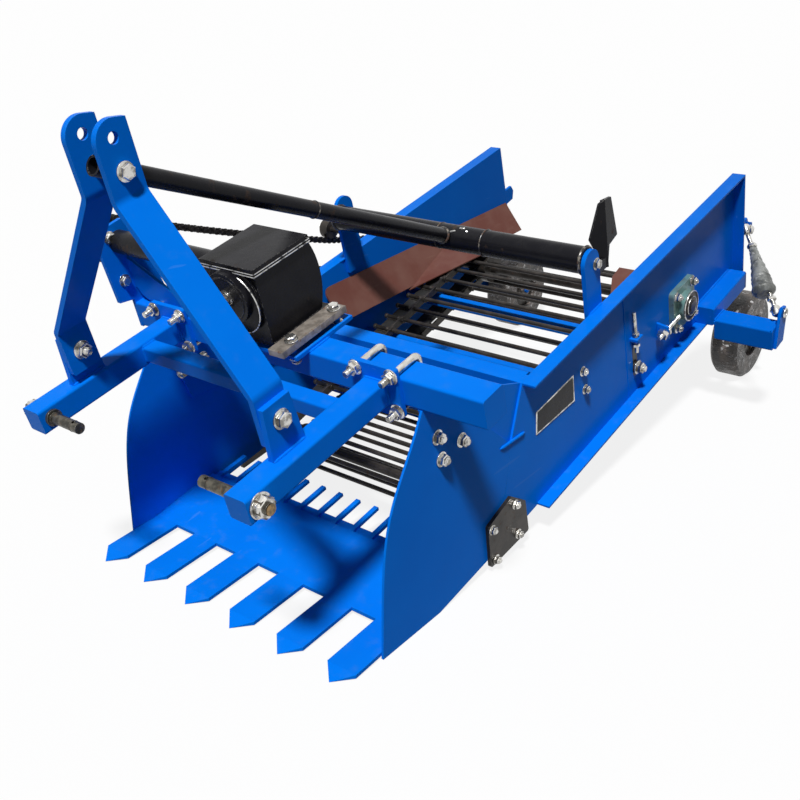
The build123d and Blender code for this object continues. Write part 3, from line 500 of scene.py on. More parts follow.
def belt_rubber():
    rubber = Finish("black_belt_rubber")
    weave = rubber.noise(240.0, 2.0, stretch=(1, 0.2, 0.2))
    dust = rubber.spots(48.0, 6.0, 0.5, 0.75)
    rubber.base = rubber.mix(dust * 0.3, (0.012, 0.012, 0.012), (0.08, 0.072, 0.062))
    normal = rubber.bump(weave, 0.35, 0.0007)
    return rubber.finish(0.55 + dust * 0.2, 0.0, normal)


FINISHES = {made.__name__: made for made in (
    blue_paint, black_paint, scuffed_black, zinc_plate, bronze_thread, stained_pin, rubbed_and_highlight_edge,
    dark_steel, oily_chain, bearing_iron, olive_steel, brown_rubber, wheel_film, packed_grey,
    belt_rubber)}
FINISHES["zinc_steel"] = zinc_plate
FINISHES["wheel_rubber"] = wheel_film
NODE_FINISH = {
    "hitch_pin_left": "stained_pin",
    "hitch_pin_right": "stained_pin",
    "fish_plates": "dark_steel",
}
MADE = {}


def finish_for(key):
    """The material of a finish, made once."""
    if key not in MADE:
        MADE[key] = FINISHES[key]()
    return MADE[key]


# ----------------------------------------------------------------- mesh maker


def basis(axis):
    """Two directions square to an axis, and the axis itself."""
    axis = axis.normalized()
    helper = UP if abs(axis.dot(UP)) < 0.9 else ACROSS
    first = helper.cross(axis).normalized()
    return first, axis.cross(first), axis


def ring(centre, first, second, radius, sides, turn=0.0):
    """Points of a circle in the plane of two directions, radius in mm."""
    angles = [2 * math.pi * step / sides + turn for step in range(sides)]
    return [centre + (first * math.cos(angle) + second * math.sin(angle)) * (radius * MM)
            for angle in angles]


SMOOTH_LIMIT = math.radians(35)


class Maker:
    """Gathers closed pieces of mesh that become one object after another."""

    def __init__(self):
        self.mesh = bmesh.new()

    def skin(self, rings, closed=False):
        """Skin over rings of equal count: capped at both ends, or closed into a loop."""
        made = [[self.mesh.verts.new(point) for point in points] for points in rings]
        count = len(made[0])
        pairs = list(zip(made, made[1:]))
        if closed:
            pairs.append((made[-1], made[0]))
        for low, high in pairs:
            for step in range(count):
                after = (step + 1) % count
                self.mesh.faces.new((low[step], low[after], high[after], high[step]))
        if not closed:
            self.mesh.faces.new(list(reversed(made[0])))
            self.mesh.faces.new(made[-1])

    def turned(self, spot, axis, profile, sides=None, turn=0.0):
        """Closed turned piece: profile is radius and distance along the axis, in mm."""
        first, second, axis = basis(axis)
        self.skin([ring(spot + axis * (along * MM), first, second, radius,
                        sides or sizes().facets, turn) for radius, along in profile])

    def hoop(self, spot, axis, radius, wire, sides=None, flat=1.0):
        """Ring of round wire about an axis; flat stretches the wire along the axis."""
        sides = sides or sizes().facets
        first, second, axis = basis(axis)
        rings = []
        for centre in ring(spot, first, second, radius, sides):
            out = (centre - spot).normalized()
            rings.append(ring(centre, out, axis * flat, wire, 8))
        self.skin(rings, closed=True)

    def rod(self, path, radius, sides=10):
        """Rod along a path of points; one radius in mm, or one for each point."""
        radii = radius if isinstance(radius, (list, tuple)) else [radius] * len(path)
        rings = []
        for index, spot in enumerate(path):
            run = path[min(index + 1, len(path) - 1)] - path[max(index - 1, 0)]
            first, second, _ = basis(run)
            rings.append(ring(spot, first, second, radii[index], sides))
        self.skin(rings)

    def plate(self, outline, across, chamfer=0.8):
        """Sheet with chamfered edges: outline of points, thickness as a vector in mm."""
        middle = sum(outline, Vector()) / len(outline)
        inner = []
        for point in outline:
            reach = (point - middle).length
            inner.append(middle + (point - middle) * (1 - chamfer * MM / reach))
        cut = chamfer / across.length
        depth = across * MM
        self.skin([inner, [p + depth * cut for p in outline],
                   [p + depth * (1 - cut) for p in outline], [p + depth for p in inner]])

    def sheet(self, x, outline, thickness, chamfer=1.0):
        """Plate square to the x axis: outline of (back, up), thickness along x in mm."""
        self.plate([at(x, *corner) for corner in outline], ACROSS * thickness, chamfer)

    def bead(self, start, end, size=None):
        """Rippled weld seam between two points."""
        size = size or sizes().weld
        run = end - start
        length = run.length / MM
        steps = max(int(length / 1.4), 8)
        profile = []
        for step in range(steps + 1):
            part = step / steps
            taper = min(1.0, 0.4 + 6.0 * min(part, 1 - part))
            profile.append((size * taper * (0.88 + 0.08 * (step % 3)), part * length))
        self.turned(start, run, profile, 8)

    def washer(self, spot, axis, thread):
        self.turned(spot, axis, [(thread * 1.05, 0), (thread * 1.1, 0.6),
                                 (thread * 1.1, thread * 0.16), (thread * 1.02, thread * 0.2)])

    def nut(self, spot, axis, thread, turn=0.3, tall=0.8):
        """Hexagon with chamfered corners."""
        wide = thread * 0.9
        high = thread * tall
        self.turned(spot, axis, [(wide * 0.93, 0), (wide, thread * 0.08), (wide, high * 0.84),
                                 (wide * 0.88, high)], 6, turn)

    def stud(self, spot, axis, thread, reach, pitch=1.75):
        """Threaded end of a bolt."""
        profile = []
        along = 0.0
        while along < reach - pitch:
            profile += [(thread / 2, along), (thread / 2 * 0.88, along + pitch / 2)]
            along += pitch
        profile += [(thread / 2, reach - 1.0), (thread / 2 * 0.8, reach)]
        self.turned(spot, axis, profile, 16)

    def bolt(self, spot, axis, thread, turn=0.3, end=0.35):
        """Washer, nut and stud end on a surface."""
        axis = axis.normalized()
        self.washer(spot, axis, thread)
        self.nut(spot + axis * (thread * 0.2 * MM), axis, thread, turn)
        self.stud(spot + axis * (thread * MM), axis, thread * 0.96, thread * end, 1.6)

    def head(self, spot, axis, thread, turn=0.3):
        """Bolt head with its washer, crowned in the middle."""
        axis = axis.normalized()
        self.washer(spot, axis, thread)
        self.nut(spot + axis * (thread * 0.2 * MM), axis, thread, turn, 0.62)
        top = spot + axis * (thread * 0.8 * MM)
        self.turned(top, axis, [(thread * 0.68, 0), (thread * 0.62, thread * 0.05)], 20)

    def done(self, name, slot, finish=None, body="frame"):
        """Turns the gathered mesh into one object on a body, and starts an empty mesh."""
        bmesh.ops.recalc_face_normals(self.mesh, faces=self.mesh.faces)
        for face in self.mesh.faces:
            face.smooth = True
        for edge in self.mesh.edges:
            if len(edge.link_faces) == 2 and edge.calc_face_angle() > SMOOTH_LIMIT:
                edge.smooth = False
        data = bpy.data.meshes.new(name)
        self.mesh.to_mesh(data)
        self.mesh.clear()
        made = bpy.data.objects.new(name, data)
        bpy.context.scene.collection.objects.link(made)
        made.data.materials.append(finish_for(finish or slot))
        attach(made, body)
        return made


# ------------------------------------------------------------------ operators


class HARVESTER_OT_finishes(bpy.types.Operator):
    """Gives each node of the frame its procedural finish"""

    bl_idname = "harvester.finishes"
    bl_label = "Paint and finishes"

    def execute(self, context):
        for part in frame["record"]["subparts"]:
            node = frame["nodes"][part["node"]]
            node.data.materials.clear()
            finish = NODE_FINISH.get(part["node"], part["material_slot"])
            node.data.materials.append(finish_for(finish))
        return {"FINISHED"}


SIDES = (("left", 1, ACROSS), ("right", -1, -ACROSS))

# Places in the side view: back along the lean and up from the beam's axis, in mm
MAST_HEAD = (-237, 472)
MAST_LUG = (-264, 86)
HITCH_PIN = (-372, -3)
INPUT_SHAFT = (-90, 155)
OUTPUT_SHAFT = (-16, 171)
IDLER = (620, -109)
FRONT_AXLE = (177, -439)
DRIVE_SHAFT = (990, -374)
CROSS_TUBE = (583, -47)
LINK_TOP = (1354, -336)
LINK_LOW = (1146, -444)

# Faces across the machine, in mm from its middle
HEAD_FACE = 45.0
ARM_MIDDLE = 282.0
ARM_INNER, ARM_OUTER = 257.0, 307.0
LUG_INNER, LUG_OUTER = 257.0, 281.0
CHEEK, PANEL, PLATE = 361.0, 371.0, 379.0
BRACKET_INNER, BRACKET_OUTER = -404.0, -414.0
CHAIN_X = -440.0
FRONT_PITCH_RADIUS, REAR_PITCH_RADIUS, IDLER_PITCH_RADIUS = 45.0, 58.0, 31.3
WEB_RADIUS, ROD_RADIUS, ROD_PITCH = 48.0, 5.5, 50.0
BELT_INNER, BELT_OUTER = 258.0, 300.0
RIVET_ROWS = (272.0, 290.0)
LINK_PLATE, LINK_LUG = 388.0, 575.0
TOOTH_PITCH = 132.3


class HARVESTER_OT_clamp_nuts(bpy.types.Operator):
    """Nuts and washers on the U-bolts of the arm clamps"""

    bl_idname = "harvester.clamp_nuts"
    bl_label = "Clamp nuts"

    def execute(self, context):
        maker = Maker()
        thread = sizes().u_bolt
        half_wide, half_tall, plate_face = 41.0, 37.3, -40.0
        for name, sign, _ in SIDES:
            for across in (-half_wide, half_wide):
                for up in (-half_tall, half_tall):
                    spot = at(sign * ARM_MIDDLE + across, plate_face, up)
                    maker.bolt(spot, -BACK, thread, 0.4 + across * 0.01 + up * 0.02, 1.15)
            maker.done(f"clamp_nuts_{name}", "zinc_steel")
        return {"FINISHED"}


class HARVESTER_OT_mast_bolts(bpy.types.Operator):
    """Bolts through the mast head and through the mast's lugs"""

    bl_idname = "harvester.mast_bolts"
    bl_label = "Mast bolts"

    def execute(self, context):
        maker = Maker()
        thread = sizes().mast_bolt
        maker.head(at(HEAD_FACE, *MAST_HEAD), ACROSS, thread * 0.95, 0.2)
        maker.bolt(at(-HEAD_FACE, *MAST_HEAD), -ACROSS, thread * 0.95, 0.5, 0.3)
        maker.done("mast_head_bolt", "zinc_steel")
        for name, sign, outward in SIDES:
            maker.head(at(sign * LUG_OUTER, *MAST_LUG), outward, thread * 1.05, 0.35)
            maker.bolt(at(sign * LUG_INNER, *MAST_LUG), -outward, thread * 1.05, 0.1, 0.45)
            maker.turned(at(sign * (LUG_INNER - 1.0), *MAST_LUG), outward,
                         [(thread / 2, 0), (thread / 2, 26)], 20)
            maker.done(f"mast_lug_bolt_{name}", "zinc_steel")
        return {"FINISHED"}


class HARVESTER_OT_hitch_nuts(bpy.types.Operator):
    """Washers, nuts and threaded ends of the lower hitch pins"""

    bl_idname = "harvester.hitch_nuts"
    bl_label = "Hitch pin nuts"

    def execute(self, context):
        maker = Maker()
        for name, sign, outward in SIDES:
            spot = at(sign * ARM_OUTER, *HITCH_PIN)
            maker.turned(spot, outward, [(22.5, 0), (23.5, 0.8), (23.5, 3.2), (22.0, 4.0)])
            maker.turned(spot, outward,
                         [(20.6, 4.0), (21.4, 5.0), (21.4, 15.6), (17.8, 19.4)], 6, 0.35)
            maker.done(f"hitch_nut_{name}", "zinc_steel")
            maker.stud(spot + outward * (18.5 * MM), outward, 21.0, 8.6, 2.2)
            maker.done(f"hitch_thread_{name}", "zinc_steel", "bronze_thread")
            for inward in (118.0, 59.0):
                maker.hoop(spot - outward * (inward * MM), outward, 10.9, 0.8, 24)
            maker.done(f"hitch_pin_rings_{name}", "dark_steel")
        return {"FINISHED"}


class HARVESTER_OT_plate_bolts(bpy.types.Operator):
    """Bolts of shields, fish plates, uprights and shaft bracket, and the bracket's gusset"""

    bl_idname = "harvester.plate_bolts"
    bl_label = "Plate bolts"

    def execute(self, context):
        maker = Maker()
        thread = sizes().plate_bolt
        for name, sign, outward in SIDES:
            shield = ((-5, -105), (60, -157), (-5, -156))
            for number, (back, up) in enumerate(shield):
                maker.bolt(at(sign * PANEL, back, up), outward, thread * 1.15, 0.2 + number, 0.4)
                maker.head(at(sign * CHEEK, back, up), -outward, thread * 1.15, number)
            maker.done(f"shield_bolts_{name}", "zinc_steel")
            fish_plate = ((186, -415), (98, -415), (182, -495), (96, -496))
            for number, (back, up) in enumerate(fish_plate):
                maker.bolt(at(sign * PLATE, back, up), outward, thread * 0.85, 0.5 + number, 0.3)
            maker.done(f"fish_plate_bolts_{name}", "zinc_steel")
        maker.head(at(366.0, 602, -62), ACROSS, thread * 1.05)
        maker.bolt(at(350.0, 602, -90), -ACROSS, thread, 0.8)
        maker.done("upright_bolts", "zinc_steel")
        for up in (189.0, 88.0):
            maker.head(at(BRACKET_INNER, -36, up), ACROSS, thread * 1.05, 0.6)
            maker.bolt(at(BRACKET_OUTER, -36, up), -ACROSS, thread * 1.05, 0.2)
        maker.done("bracket_bolts", "zinc_steel")
        outline = ((-404, 136), (-384, 126), (-267, 66), (-262, 44), (-268, 33), (-360, 33),
                   (-378, 38), (-390, 47), (-397, 60), (-404, 64))
        maker.plate([at(x, -16, up) for x, up in outline], BACK * 7.0, 1.0)
        maker.done("bracket_gusset", "blue_paint")
        return {"FINISHED"}


class HARVESTER_OT_gearbox_trim(bpy.types.Operator):
    """Painted highlight rims, covers, foot strips and foot bolts of the gearbox"""

    bl_idname = "harvester.gearbox_trim"
    bl_label = "Gearbox trim"

    def execute(self, context):
        maker = Maker()
        # Painted highlights: bright rods along the cover's edges and a bright hoop at the flange's
        # rim.
        lip = ((-72.2, -73.2), (72.2, -73.2), (72.2, 77.2), (-72.2, 77.2))
        for up, wire in ((203.2, 1.4), (208.4, 1.0)):
            for here, there in zip(lip, lip[1:] + lip[:1]):
                maker.rod([at(*here, up), at(*there, up)], wire, 8)
        flange, flange_x, flange_up = 63.5, 1.5, 139.5
        foot_under, foot_thick, bolt_x = 50.5, 14.0, 99.0
        maker.hoop(at(flange_x, -76.6, flange_up), -BACK, flange, 1.4, 64)
        maker.done("gearbox_highlight_rims", "zinc_steel", "rubbed_and_highlight_edge")
        maker.hoop(at(0, INPUT_SHAFT[0] + 1.0, INPUT_SHAFT[1]), -BACK, 43.0, 2.4, 48)
        maker.turned(at(flange_x, -72.0, flange_up), -BACK,
                     [(flange, 0), (flange, 4.2), (flange - 2.0, 5.2)], 64)
        maker.hoop(at(-71.0, *OUTPUT_SHAFT), -ACROSS, 27.5, 4.5, 40)
        maker.done("gearbox_covers", "black_paint")
        for sign in (1, -1):
            foot = ((76.0, -90.6), (113.0, -90.6), (113.0, 91.6), (76.0, 91.6))
            outline = [at(sign * x, back, foot_under) for x, back in foot]
            maker.plate(outline, UP * foot_thick, 1.0)
        maker.done("gearbox_foot_strips", "bearing_iron", "olive_steel")
        for sign in (1, -1):
            for back in (-50.0, 72.0):
                top = at(sign * bolt_x, back, foot_under + foot_thick)
                maker.head(top, UP, sizes().plate_bolt * 1.05, back)
                under = at(sign * bolt_x, back, 30.0 if back < 0 else 38.0)
                maker.bolt(under, -UP, sizes().plate_bolt)
        maker.done("gearbox_foot_bolts", "zinc_steel")
        return {"FINISHED"}


class HARVESTER_OT_name_plate(bpy.types.Operator):
    """Blank plate with a pale border on the left panel, and the panels' bolts"""

    bl_idname = "harvester.name_plate"
    bl_label = "Blank plate"

    def execute(self, context):
        maker = Maker()
        corners = ((300, -315), (310, -261), (465, -264), (461, -331))
        maker.sheet(PANEL, corners, 1.6, 0.5)
        maker.done("blank_plate_border", "zinc_steel")
        middle_back, middle_up = 384.0, -293.0
        field = [(middle_back + (back - middle_back) * 0.945, middle_up + (up - middle_up) * 0.87)
                 for back, up in corners]
        maker.sheet(PANEL + 1.2, field, 0.8, 0.3)
        maker.done("blank_plate_field", "black_paint")
        for back, up in ((504, -279), (508, -330)):
            maker.bolt(at(PANEL, back, up), ACROSS, sizes().plate_bolt * 0.9, back, 0.3)
            maker.head(at(-PANEL, back, up), -ACROSS, sizes().plate_bolt * 0.9, back)
        maker.done("panel_bolts", "zinc_steel")
        return {"FINISHED"}


class HARVESTER_OT_side_tensioners(bpy.types.Operator):
    """Slot, lug, screw and nuts that set the web's middle rollers"""

    bl_idname = "harvester.side_tensioners"
    bl_label = "Side tensioners"

    def execute(self, context):
        maker = Maker()
        thread = sizes().plate_bolt
        screw_x, screw_back = PANEL + 10.0, 736
        roller_back, roller_up = 746, -417
        for name, sign, outward in SIDES:
            foot = at(sign * screw_x, screw_back, -338)
            tip = at(0, 731, -258) - at(0, screw_back, -338)
            maker.stud(foot, tip, 10.0, 84.0, 2.0)
            lug_under = at(sign * screw_x, screw_back, -333) - UP * (thread * 0.75 * MM)
            maker.nut(lug_under, -UP, thread * 0.85, 0.2)
            maker.nut(at(sign * screw_x, screw_back, -318), UP, thread * 0.85, 0.6, 0.6)
            maker.stud(at(sign * screw_x, 738, -346), -UP, 10.0, 22.0, 2.0)
            maker.bolt(at(sign * (PANEL + 5.0), roller_back, roller_up), outward,
                       thread * 1.35, 0.2, 0.4)
            maker.done(f"side_tension_screw_{name}", "zinc_steel")
            lug = ((PANEL, 722), (PANEL + 21.0, 722), (PANEL + 21.0, 752), (PANEL, 752))
            maker.plate([at(sign * x, back, -331) for x, back in lug], UP * 8.0, 1.0)
            maker.done(f"side_tension_lug_{name}", "blue_paint")
            # Painted shade: a thin dark sheet in the slot's outline stands for the open slot.
            slot, slot_radius, slot_half = [], 11.0, 32.0
            for step in range(16):
                angle = 2 * math.pi * step / 16
                stretch = slot_half if math.sin(angle) > 0 else -slot_half
                slot.append((744 + slot_radius * math.cos(angle),
                             -398 + stretch + slot_radius * math.sin(angle)))
            maker.sheet(sign * (PANEL - 0.4), slot, sign * 1.0, 0.3)
            maker.turned(at(sign * PANEL, roller_back, roller_up), outward,
                         [(14.5, 0.0), (15.5, 0.8), (15.5, 4.2), (14.5, 5.0)])
            maker.done(f"side_tension_slot_{name}", "dark_steel")
        return {"FINISHED"}


class HARVESTER_OT_bearing_trim(bpy.types.Operator):
    """Bolts, inserts, grease nipples and tension screws of the shaft bearings"""

    bl_idname = "harvester.bearing_trim"
    bl_label = "Bearing trim"

    def execute(self, context):
        maker = Maker()
        thread = sizes().plate_bolt
        centre_back, centre_up = DRIVE_SHAFT
        screw_x, screw_up = PANEL + 20.0, -384
        for name, sign, outward in SIDES:
            for number, (back, up) in enumerate(((-45, -45), (-45, 45), (45, -45), (45, 45))):
                spot = at(sign * (PANEL + 14.0), centre_back + back, centre_up + up)
                maker.bolt(spot, outward, thread, 0.3 + number, 0.4)
            maker.done(f"bearing_bolts_{name}", "zinc_steel")
            hub = at(sign * (PANEL + 28.0), centre_back, centre_up)
            maker.turned(hub, outward, [(38.5, 0), (38.5, 5.6), (36.0, 6.6), (35.0, 4.4),
                                        (26.0, 4.2), (25.0, 8.0), (19.5, 8.8)], 48)
            maker.done(f"bearing_insert_{name}", "dark_steel")
            # Bright hoops at the insert's rims: a bright steel ring, made brighter as a painted
            # highlight.
            maker.hoop(hub + outward * (5.0 * MM), outward, 38.4, 1.6, 48)
            maker.hoop(hub + outward * (7.6 * MM), outward, 24.6, 0.9, 48)
            maker.done(f"bearing_rim_{name}", "dark_steel", "rubbed_and_highlight_edge")
            oiler = at(sign * (PANEL + 20.0), centre_back - 22, centre_up + 30)
            maker.turned(oiler, UP - BACK, [(4.5, 0), (4.5, 6), (2.6, 7), (2.6, 11),
                                            (3.4, 12), (2.0, 15)], 6)
            maker.done(f"grease_nipple_{name}", "zinc_steel")
            maker.stud(at(sign * screw_x, 946, screw_up), -BACK, 11.0, 112.0, 2.0)
            maker.nut(at(sign * screw_x, 861, screw_up), -BACK, thread * 1.4, 0.2, 0.8)
            maker.nut(at(sign * screw_x, 870, screw_up), BACK, thread * 1.3, 0.5, 0.6)
            maker.done(f"bearing_tension_screw_{name}", "zinc_steel")
            lug = ((PANEL, -406), (PANEL, -360), (PANEL + 31.0, -366), (PANEL + 31.0, -400))
            maker.plate([at(sign * x, 862, up) for x, up in lug], BACK * 7.0, 1.0)
            maker.done(f"bearing_tension_lug_{name}", "blue_paint")
        return {"FINISHED"}


def circle_point(centre, radius, angle):
    return (centre[0] + radius * math.cos(angle), centre[1] + radius * math.sin(angle))


def chain_path():
    """Closed pitch line of the chain in the side view, with the upper run's sag."""
    run = math.atan2(DRIVE_SHAFT[1] - OUTPUT_SHAFT[1], DRIVE_SHAFT[0] - OUTPUT_SHAFT[0])
    splay = 0.013
    upper, lower = run + math.pi / 2 + splay, run - math.pi / 2 - splay
    points = []
    for step in range(25):
        turn = lower - math.pi * step / 24
        points.append(circle_point(OUTPUT_SHAFT, FRONT_PITCH_RADIUS, turn))
    lift = circle_point(IDLER, IDLER_PITCH_RADIUS, upper + math.pi)
    start = points[-1]
    for step in range(1, 30):
        part = step / 30
        sag = sizes().chain_sag * 4 * part * (1 - part)
        points.append((start[0] + (lift[0] - start[0]) * part,
                       start[1] + (lift[1] - start[1]) * part - sag))
    for turn in (-0.14, -0.05, 0.05, 0.14):
        points.append(circle_point(IDLER, IDLER_PITCH_RADIUS, upper + math.pi + turn))
    for step in range(33):
        turn = upper - (math.pi + 2 * splay) * step / 32
        points.append(circle_point(DRIVE_SHAFT, REAR_PITCH_RADIUS, turn))
    return points


def even_spots(points, count):
    """Points at equal distances along a closed line."""
    closed = points + [points[0]]
    lengths = [math.dist(a, b) for a, b in zip(closed, closed[1:])]
    pitch = sum(lengths) / count
    spots = []
    index, walked = 0, 0.0
    for number in range(count):
        while walked + lengths[index] < number * pitch:
            walked += lengths[index]
            index += 1
        part = (number * pitch - walked) / lengths[index]
        a, b = closed[index], closed[index + 1]
        spots.append((a[0] + (b[0] - a[0]) * part, a[1] + (b[1] - a[1]) * part))
    return spots


class HARVESTER_OT_chain(bpy.types.Operator):
    """Roller chain of link plates, rollers and pins, and the sprockets' teeth"""

    bl_idname = "harvester.chain"
    bl_label = "Roller chain"

    def execute(self, context):
        maker = Maker()
        path = chain_path()
        whole = sum(math.dist(a, b) for a, b in zip(path, path[1:] + path[:1]))
        count = 2 * round(whole / sizes().chain_pitch / 2)
        spots = even_spots(path, count)
        lobe, waist = 8.4, 4.6
        for number, here in enumerate(spots):
            there = spots[(number + 1) % count]
            reach = 6.1 if number % 2 else 4.3
            along = Vector((there[0] - here[0], there[1] - here[1])).normalized()
            beside = Vector((-along.y, along.x))
            middle = ((here[0] + there[0]) / 2, (here[1] + there[1]) / 2)
            outline = []
            for centre, first, neck in ((there, -125, waist), (here, 55, -waist)):
                for step in range(11):
                    turn = math.radians(first + 25 * step)
                    out = along * math.cos(turn) + beside * math.sin(turn)
                    outline.append((centre[0] + lobe * out.x, centre[1] + lobe * out.y))
                outline.append((middle[0] + neck * beside.x, middle[1] + neck * beside.y))
            for sign in (1, -1):
                maker.sheet(CHAIN_X + sign * reach, outline, sign * 1.4, 0.25)
            maker.turned(at(CHAIN_X - 4.2, *here), ACROSS, [(6.0, 0), (6.0, 8.4)], 10)
            maker.turned(at(CHAIN_X - 8.0, *here), ACROSS,
                         [(2.2, 0), (2.6, 0.4), (2.6, 15.6), (2.2, 16)], 8)
        chain = maker.done("roller_chain", "dark_steel", "oily_chain")
        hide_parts("drive_chain")
        for name, centre, radius in (("front", OUTPUT_SHAFT, FRONT_PITCH_RADIUS),
                                     ("rear", DRIVE_SHAFT, REAR_PITCH_RADIUS)):
            teeth = round(2 * math.pi * radius / sizes().chain_pitch)
            outline = []
            for tooth in range(teeth):
                middle = 2 * math.pi * tooth / teeth
                for part, reach in ((-0.36, -3.2), (-0.16, 3.4), (0.16, 3.4), (0.36, -3.2)):
                    turn = middle + part * 2 * math.pi / teeth
                    outline.append(circle_point(centre, radius + reach, turn))
            maker.sheet(CHAIN_X - 3.6, outline, 7.2, 0.8)
            maker.done(f"sprocket_teeth_{name}", "dark_steel")
        maker.bolt(at(CHAIN_X - 12.0, *IDLER), -ACROSS, 14.0)
        maker.turned(at(CHAIN_X - 20.0, *DRIVE_SHAFT), -ACROSS,
                     [(15.0, -6), (15.0, 2), (13.0, 3.5)], 28)
        maker.done("idler_bolt", "zinc_steel")
        return {"FINISHED"}


def web_frame():
    """Start, direction along and direction square to the web, all at x = 0."""
    start, end = at(0, *FRONT_AXLE), at(0, *DRIVE_SHAFT)
    along = (end - start).normalized()
    return start, along, ACROSS.cross(along), (end - start).length / MM


def web_loop(radius):
    """Closed line round both web axles at a radius, in mm."""
    start, along, square, run = web_frame()
    legs, steps = int(run / 25.0), 24
    points = []
    for origin, way in ((0.0, 1), (run, -1)):
        for step in range(legs + 1):
            part = origin + way * step * run / legs
            points.append(start + (along * part + square * (way * radius)) * MM)
        for step in range(1, steps):
            angle = math.pi * step / steps
            reach = run - origin + way * radius * math.sin(angle)
            points.append(start + (along * reach
                                   + square * (way * radius * math.cos(angle))) * MM)
    return points


class HARVESTER_OT_web(bpy.types.Operator):
    """Belts, rod ends and rivets along the web's sides, and the strips' loose flaps"""

    bl_idname = "harvester.web"
    bl_label = "Rod web"

    def execute(self, context):
        maker = Maker()
        start, along, square, run = web_frame()
        radius, rod = WEB_RADIUS, ROD_RADIUS
        rod_end = [(rod, 254), (rod, 262), (rod * 1.25, 264), (rod * 1.25, 267), (rod, 269),
                   (rod, 302), (rod * 1.3, 304), (rod * 1.3, 308), (rod * 0.9, 311)]
        strip_back, strip_up, strip_slope = 177.0, -379.0, 0.08
        bend = math.pi * radius
        length = 2 * run + 2 * bend
        count = 2 * int(length // (2 * ROD_PITCH))
        places = []
        for number in range(count):
            went = number * length / count
            way = 1 if went < run + bend else -1
            origin = 0.0 if way > 0 else run
            past = went if way > 0 else went - run - bend
            if past < run:
                outward = square * way
                spot = along * (origin + way * past) + outward * radius
            else:
                turn = (past - run) / radius
                outward = (along * math.sin(turn) + square * math.cos(turn)) * way
                spot = along * (run - origin) + outward * radius
            places.append((start + spot * MM, outward))
        for name, sign, outer in SIDES:
            rings = []
            for low, high in zip(web_loop(radius - rod - 6.5), web_loop(radius - rod + 0.4)):
                near, far = outer * (BELT_INNER * MM), outer * (BELT_OUTER * MM)
                rings.append([low + near, low + far, high + far, high + near])
            maker.skin(rings, closed=True)
            maker.done(f"web_belt_{name}", "wheel_rubber", "belt_rubber")
            flap = [at(sign * x, back, strip_up + (back - strip_back) * strip_slope)
                    for x, back in ((304, 735), (200, 961), (198, 1005), (345, 1005))]
            maker.plate(flap, UP * 4.0, 1.0)
            maker.done(f"deflector_flap_{name}", "brown_rubber")
            rods, rivets = Maker(), Maker()
            for spot, outward in places:
                rods.turned(spot, outer, rod_end, 12)
                along_here = outer.cross(outward)
                for away in RIVET_ROWS:
                    middle = spot + outer * (away * MM) - outward * ((rod - 0.8) * MM)
                    corners = [middle + (outer * (a * 7.0) + along_here * (b * 9.5)) * MM
                               for a, b in ((-1, -1), (1, -1), (1, 1), (-1, 1))]
                    rods.plate(corners, outward * 2.0, 0.5)
                    rivets.turned(middle + along_here * (7.0 * MM) + outward * (1.8 * MM), outward,
                                  [(2.8, 0), (2.6, 0.9), (1.5, 1.8)], 10)
            rods.done(f"web_rod_ends_{name}", "dark_steel")
            rivets.done(f"web_rivets_{name}", "zinc_steel")
        return {"FINISHED"}


class HARVESTER_OT_depth_links(bpy.types.Operator):
    """Screw links with lugs, eyes, nuts and wrapped sleeves, from panels to wheel bars"""

    bl_idname = "harvester.depth_links"
    bl_label = "Depth links"

    def execute(self, context):
        maker = Maker()
        thread = sizes().plate_bolt
        top_x, low_x, head_x, pin_x, ring_x = 395.0, 562.7, 405.0, 548.0, 586.0
        for name, sign, outward in SIDES:
            top = at(sign * top_x, *LINK_TOP)
            low = at(sign * low_x, *LINK_LOW)
            run = low - top
            length = run.length / MM
            upper = ((1329, -316), (1382, -316), (1391, -334), (1382, -360), (1329, -364))
            maker.sheet(sign * LINK_PLATE, upper, sign * -9.0)
            block = ((1370, -360), (1370, -322), (1387, -330), (1387, -356))
            maker.sheet(sign * LINK_PLATE, block, sign * 12.0)
            lower = ((1101, -529), (1148, -529), (1166, -456), (1158, -430), (1136, -424),
                     (1122, -440))
            maker.sheet(sign * LINK_LUG, lower, sign * 8.0)
            maker.done(f"depth_link_lugs_{name}", "blue_paint")
            maker.turned(top - run.normalized() * (12 * MM), run,
                         [(9, 0), (12.5, 4), (12.5, 20), (9, 26), (6, 30)], 20)
            maker.stud(top + run * 0.08, run, 12.0, length * 0.3, 2.2)
            maker.rod([top + run * 0.1, low - run * 0.1], 5.4, 16)
            maker.nut(top + run * 0.2, run, thread * 1.2, 0.3)
            maker.nut(low - run * 0.16, run, thread * 1.1, 0.3)
            maker.stud(low - run * 0.2, run, 12.0, length * 0.16, 2.2)
            maker.turned(low - run.normalized() * (16 * MM), run,
                         [(6, 0), (11, 3), (12.5, 7), (12.5, 24), (9, 29)], 20)
            maker.head(at(sign * head_x, *LINK_TOP), outward, thread * 1.05, 0.2)
            maker.turned(at(sign * pin_x, *LINK_LOW), outward, [(6, 0), (6, 36)], 16)
            maker.hoop(at(sign * ring_x, *LINK_LOW), outward, 10.5, 3.2, 32)
            screws = maker.done(f"depth_link_screw_{name}", "zinc_steel")
            draw = random.Random(7)
            thin, widening, wrinkle, offset = 10.0, 23.0, 1.3, 15.0
            path, radii = [], []
            for step in range(31):
                part = step / 30
                aside = outward * (offset * part ** 1.3 * MM)
                path.append(top + run * (0.22 + 0.6 * part) - aside)
                swell = thin + widening * part ** 1.2 + draw.uniform(-wrinkle, wrinkle)
                radii.append(swell * min(1.0, 0.6 + 6 * min(part, 1 - part)))
            maker.rod(path, radii, 24)
            maker.done(f"depth_link_sleeve_{name}", "wheel_rubber", "packed_grey")
            if sign > 0:
                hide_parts("screw_links")
        return {"FINISHED"}


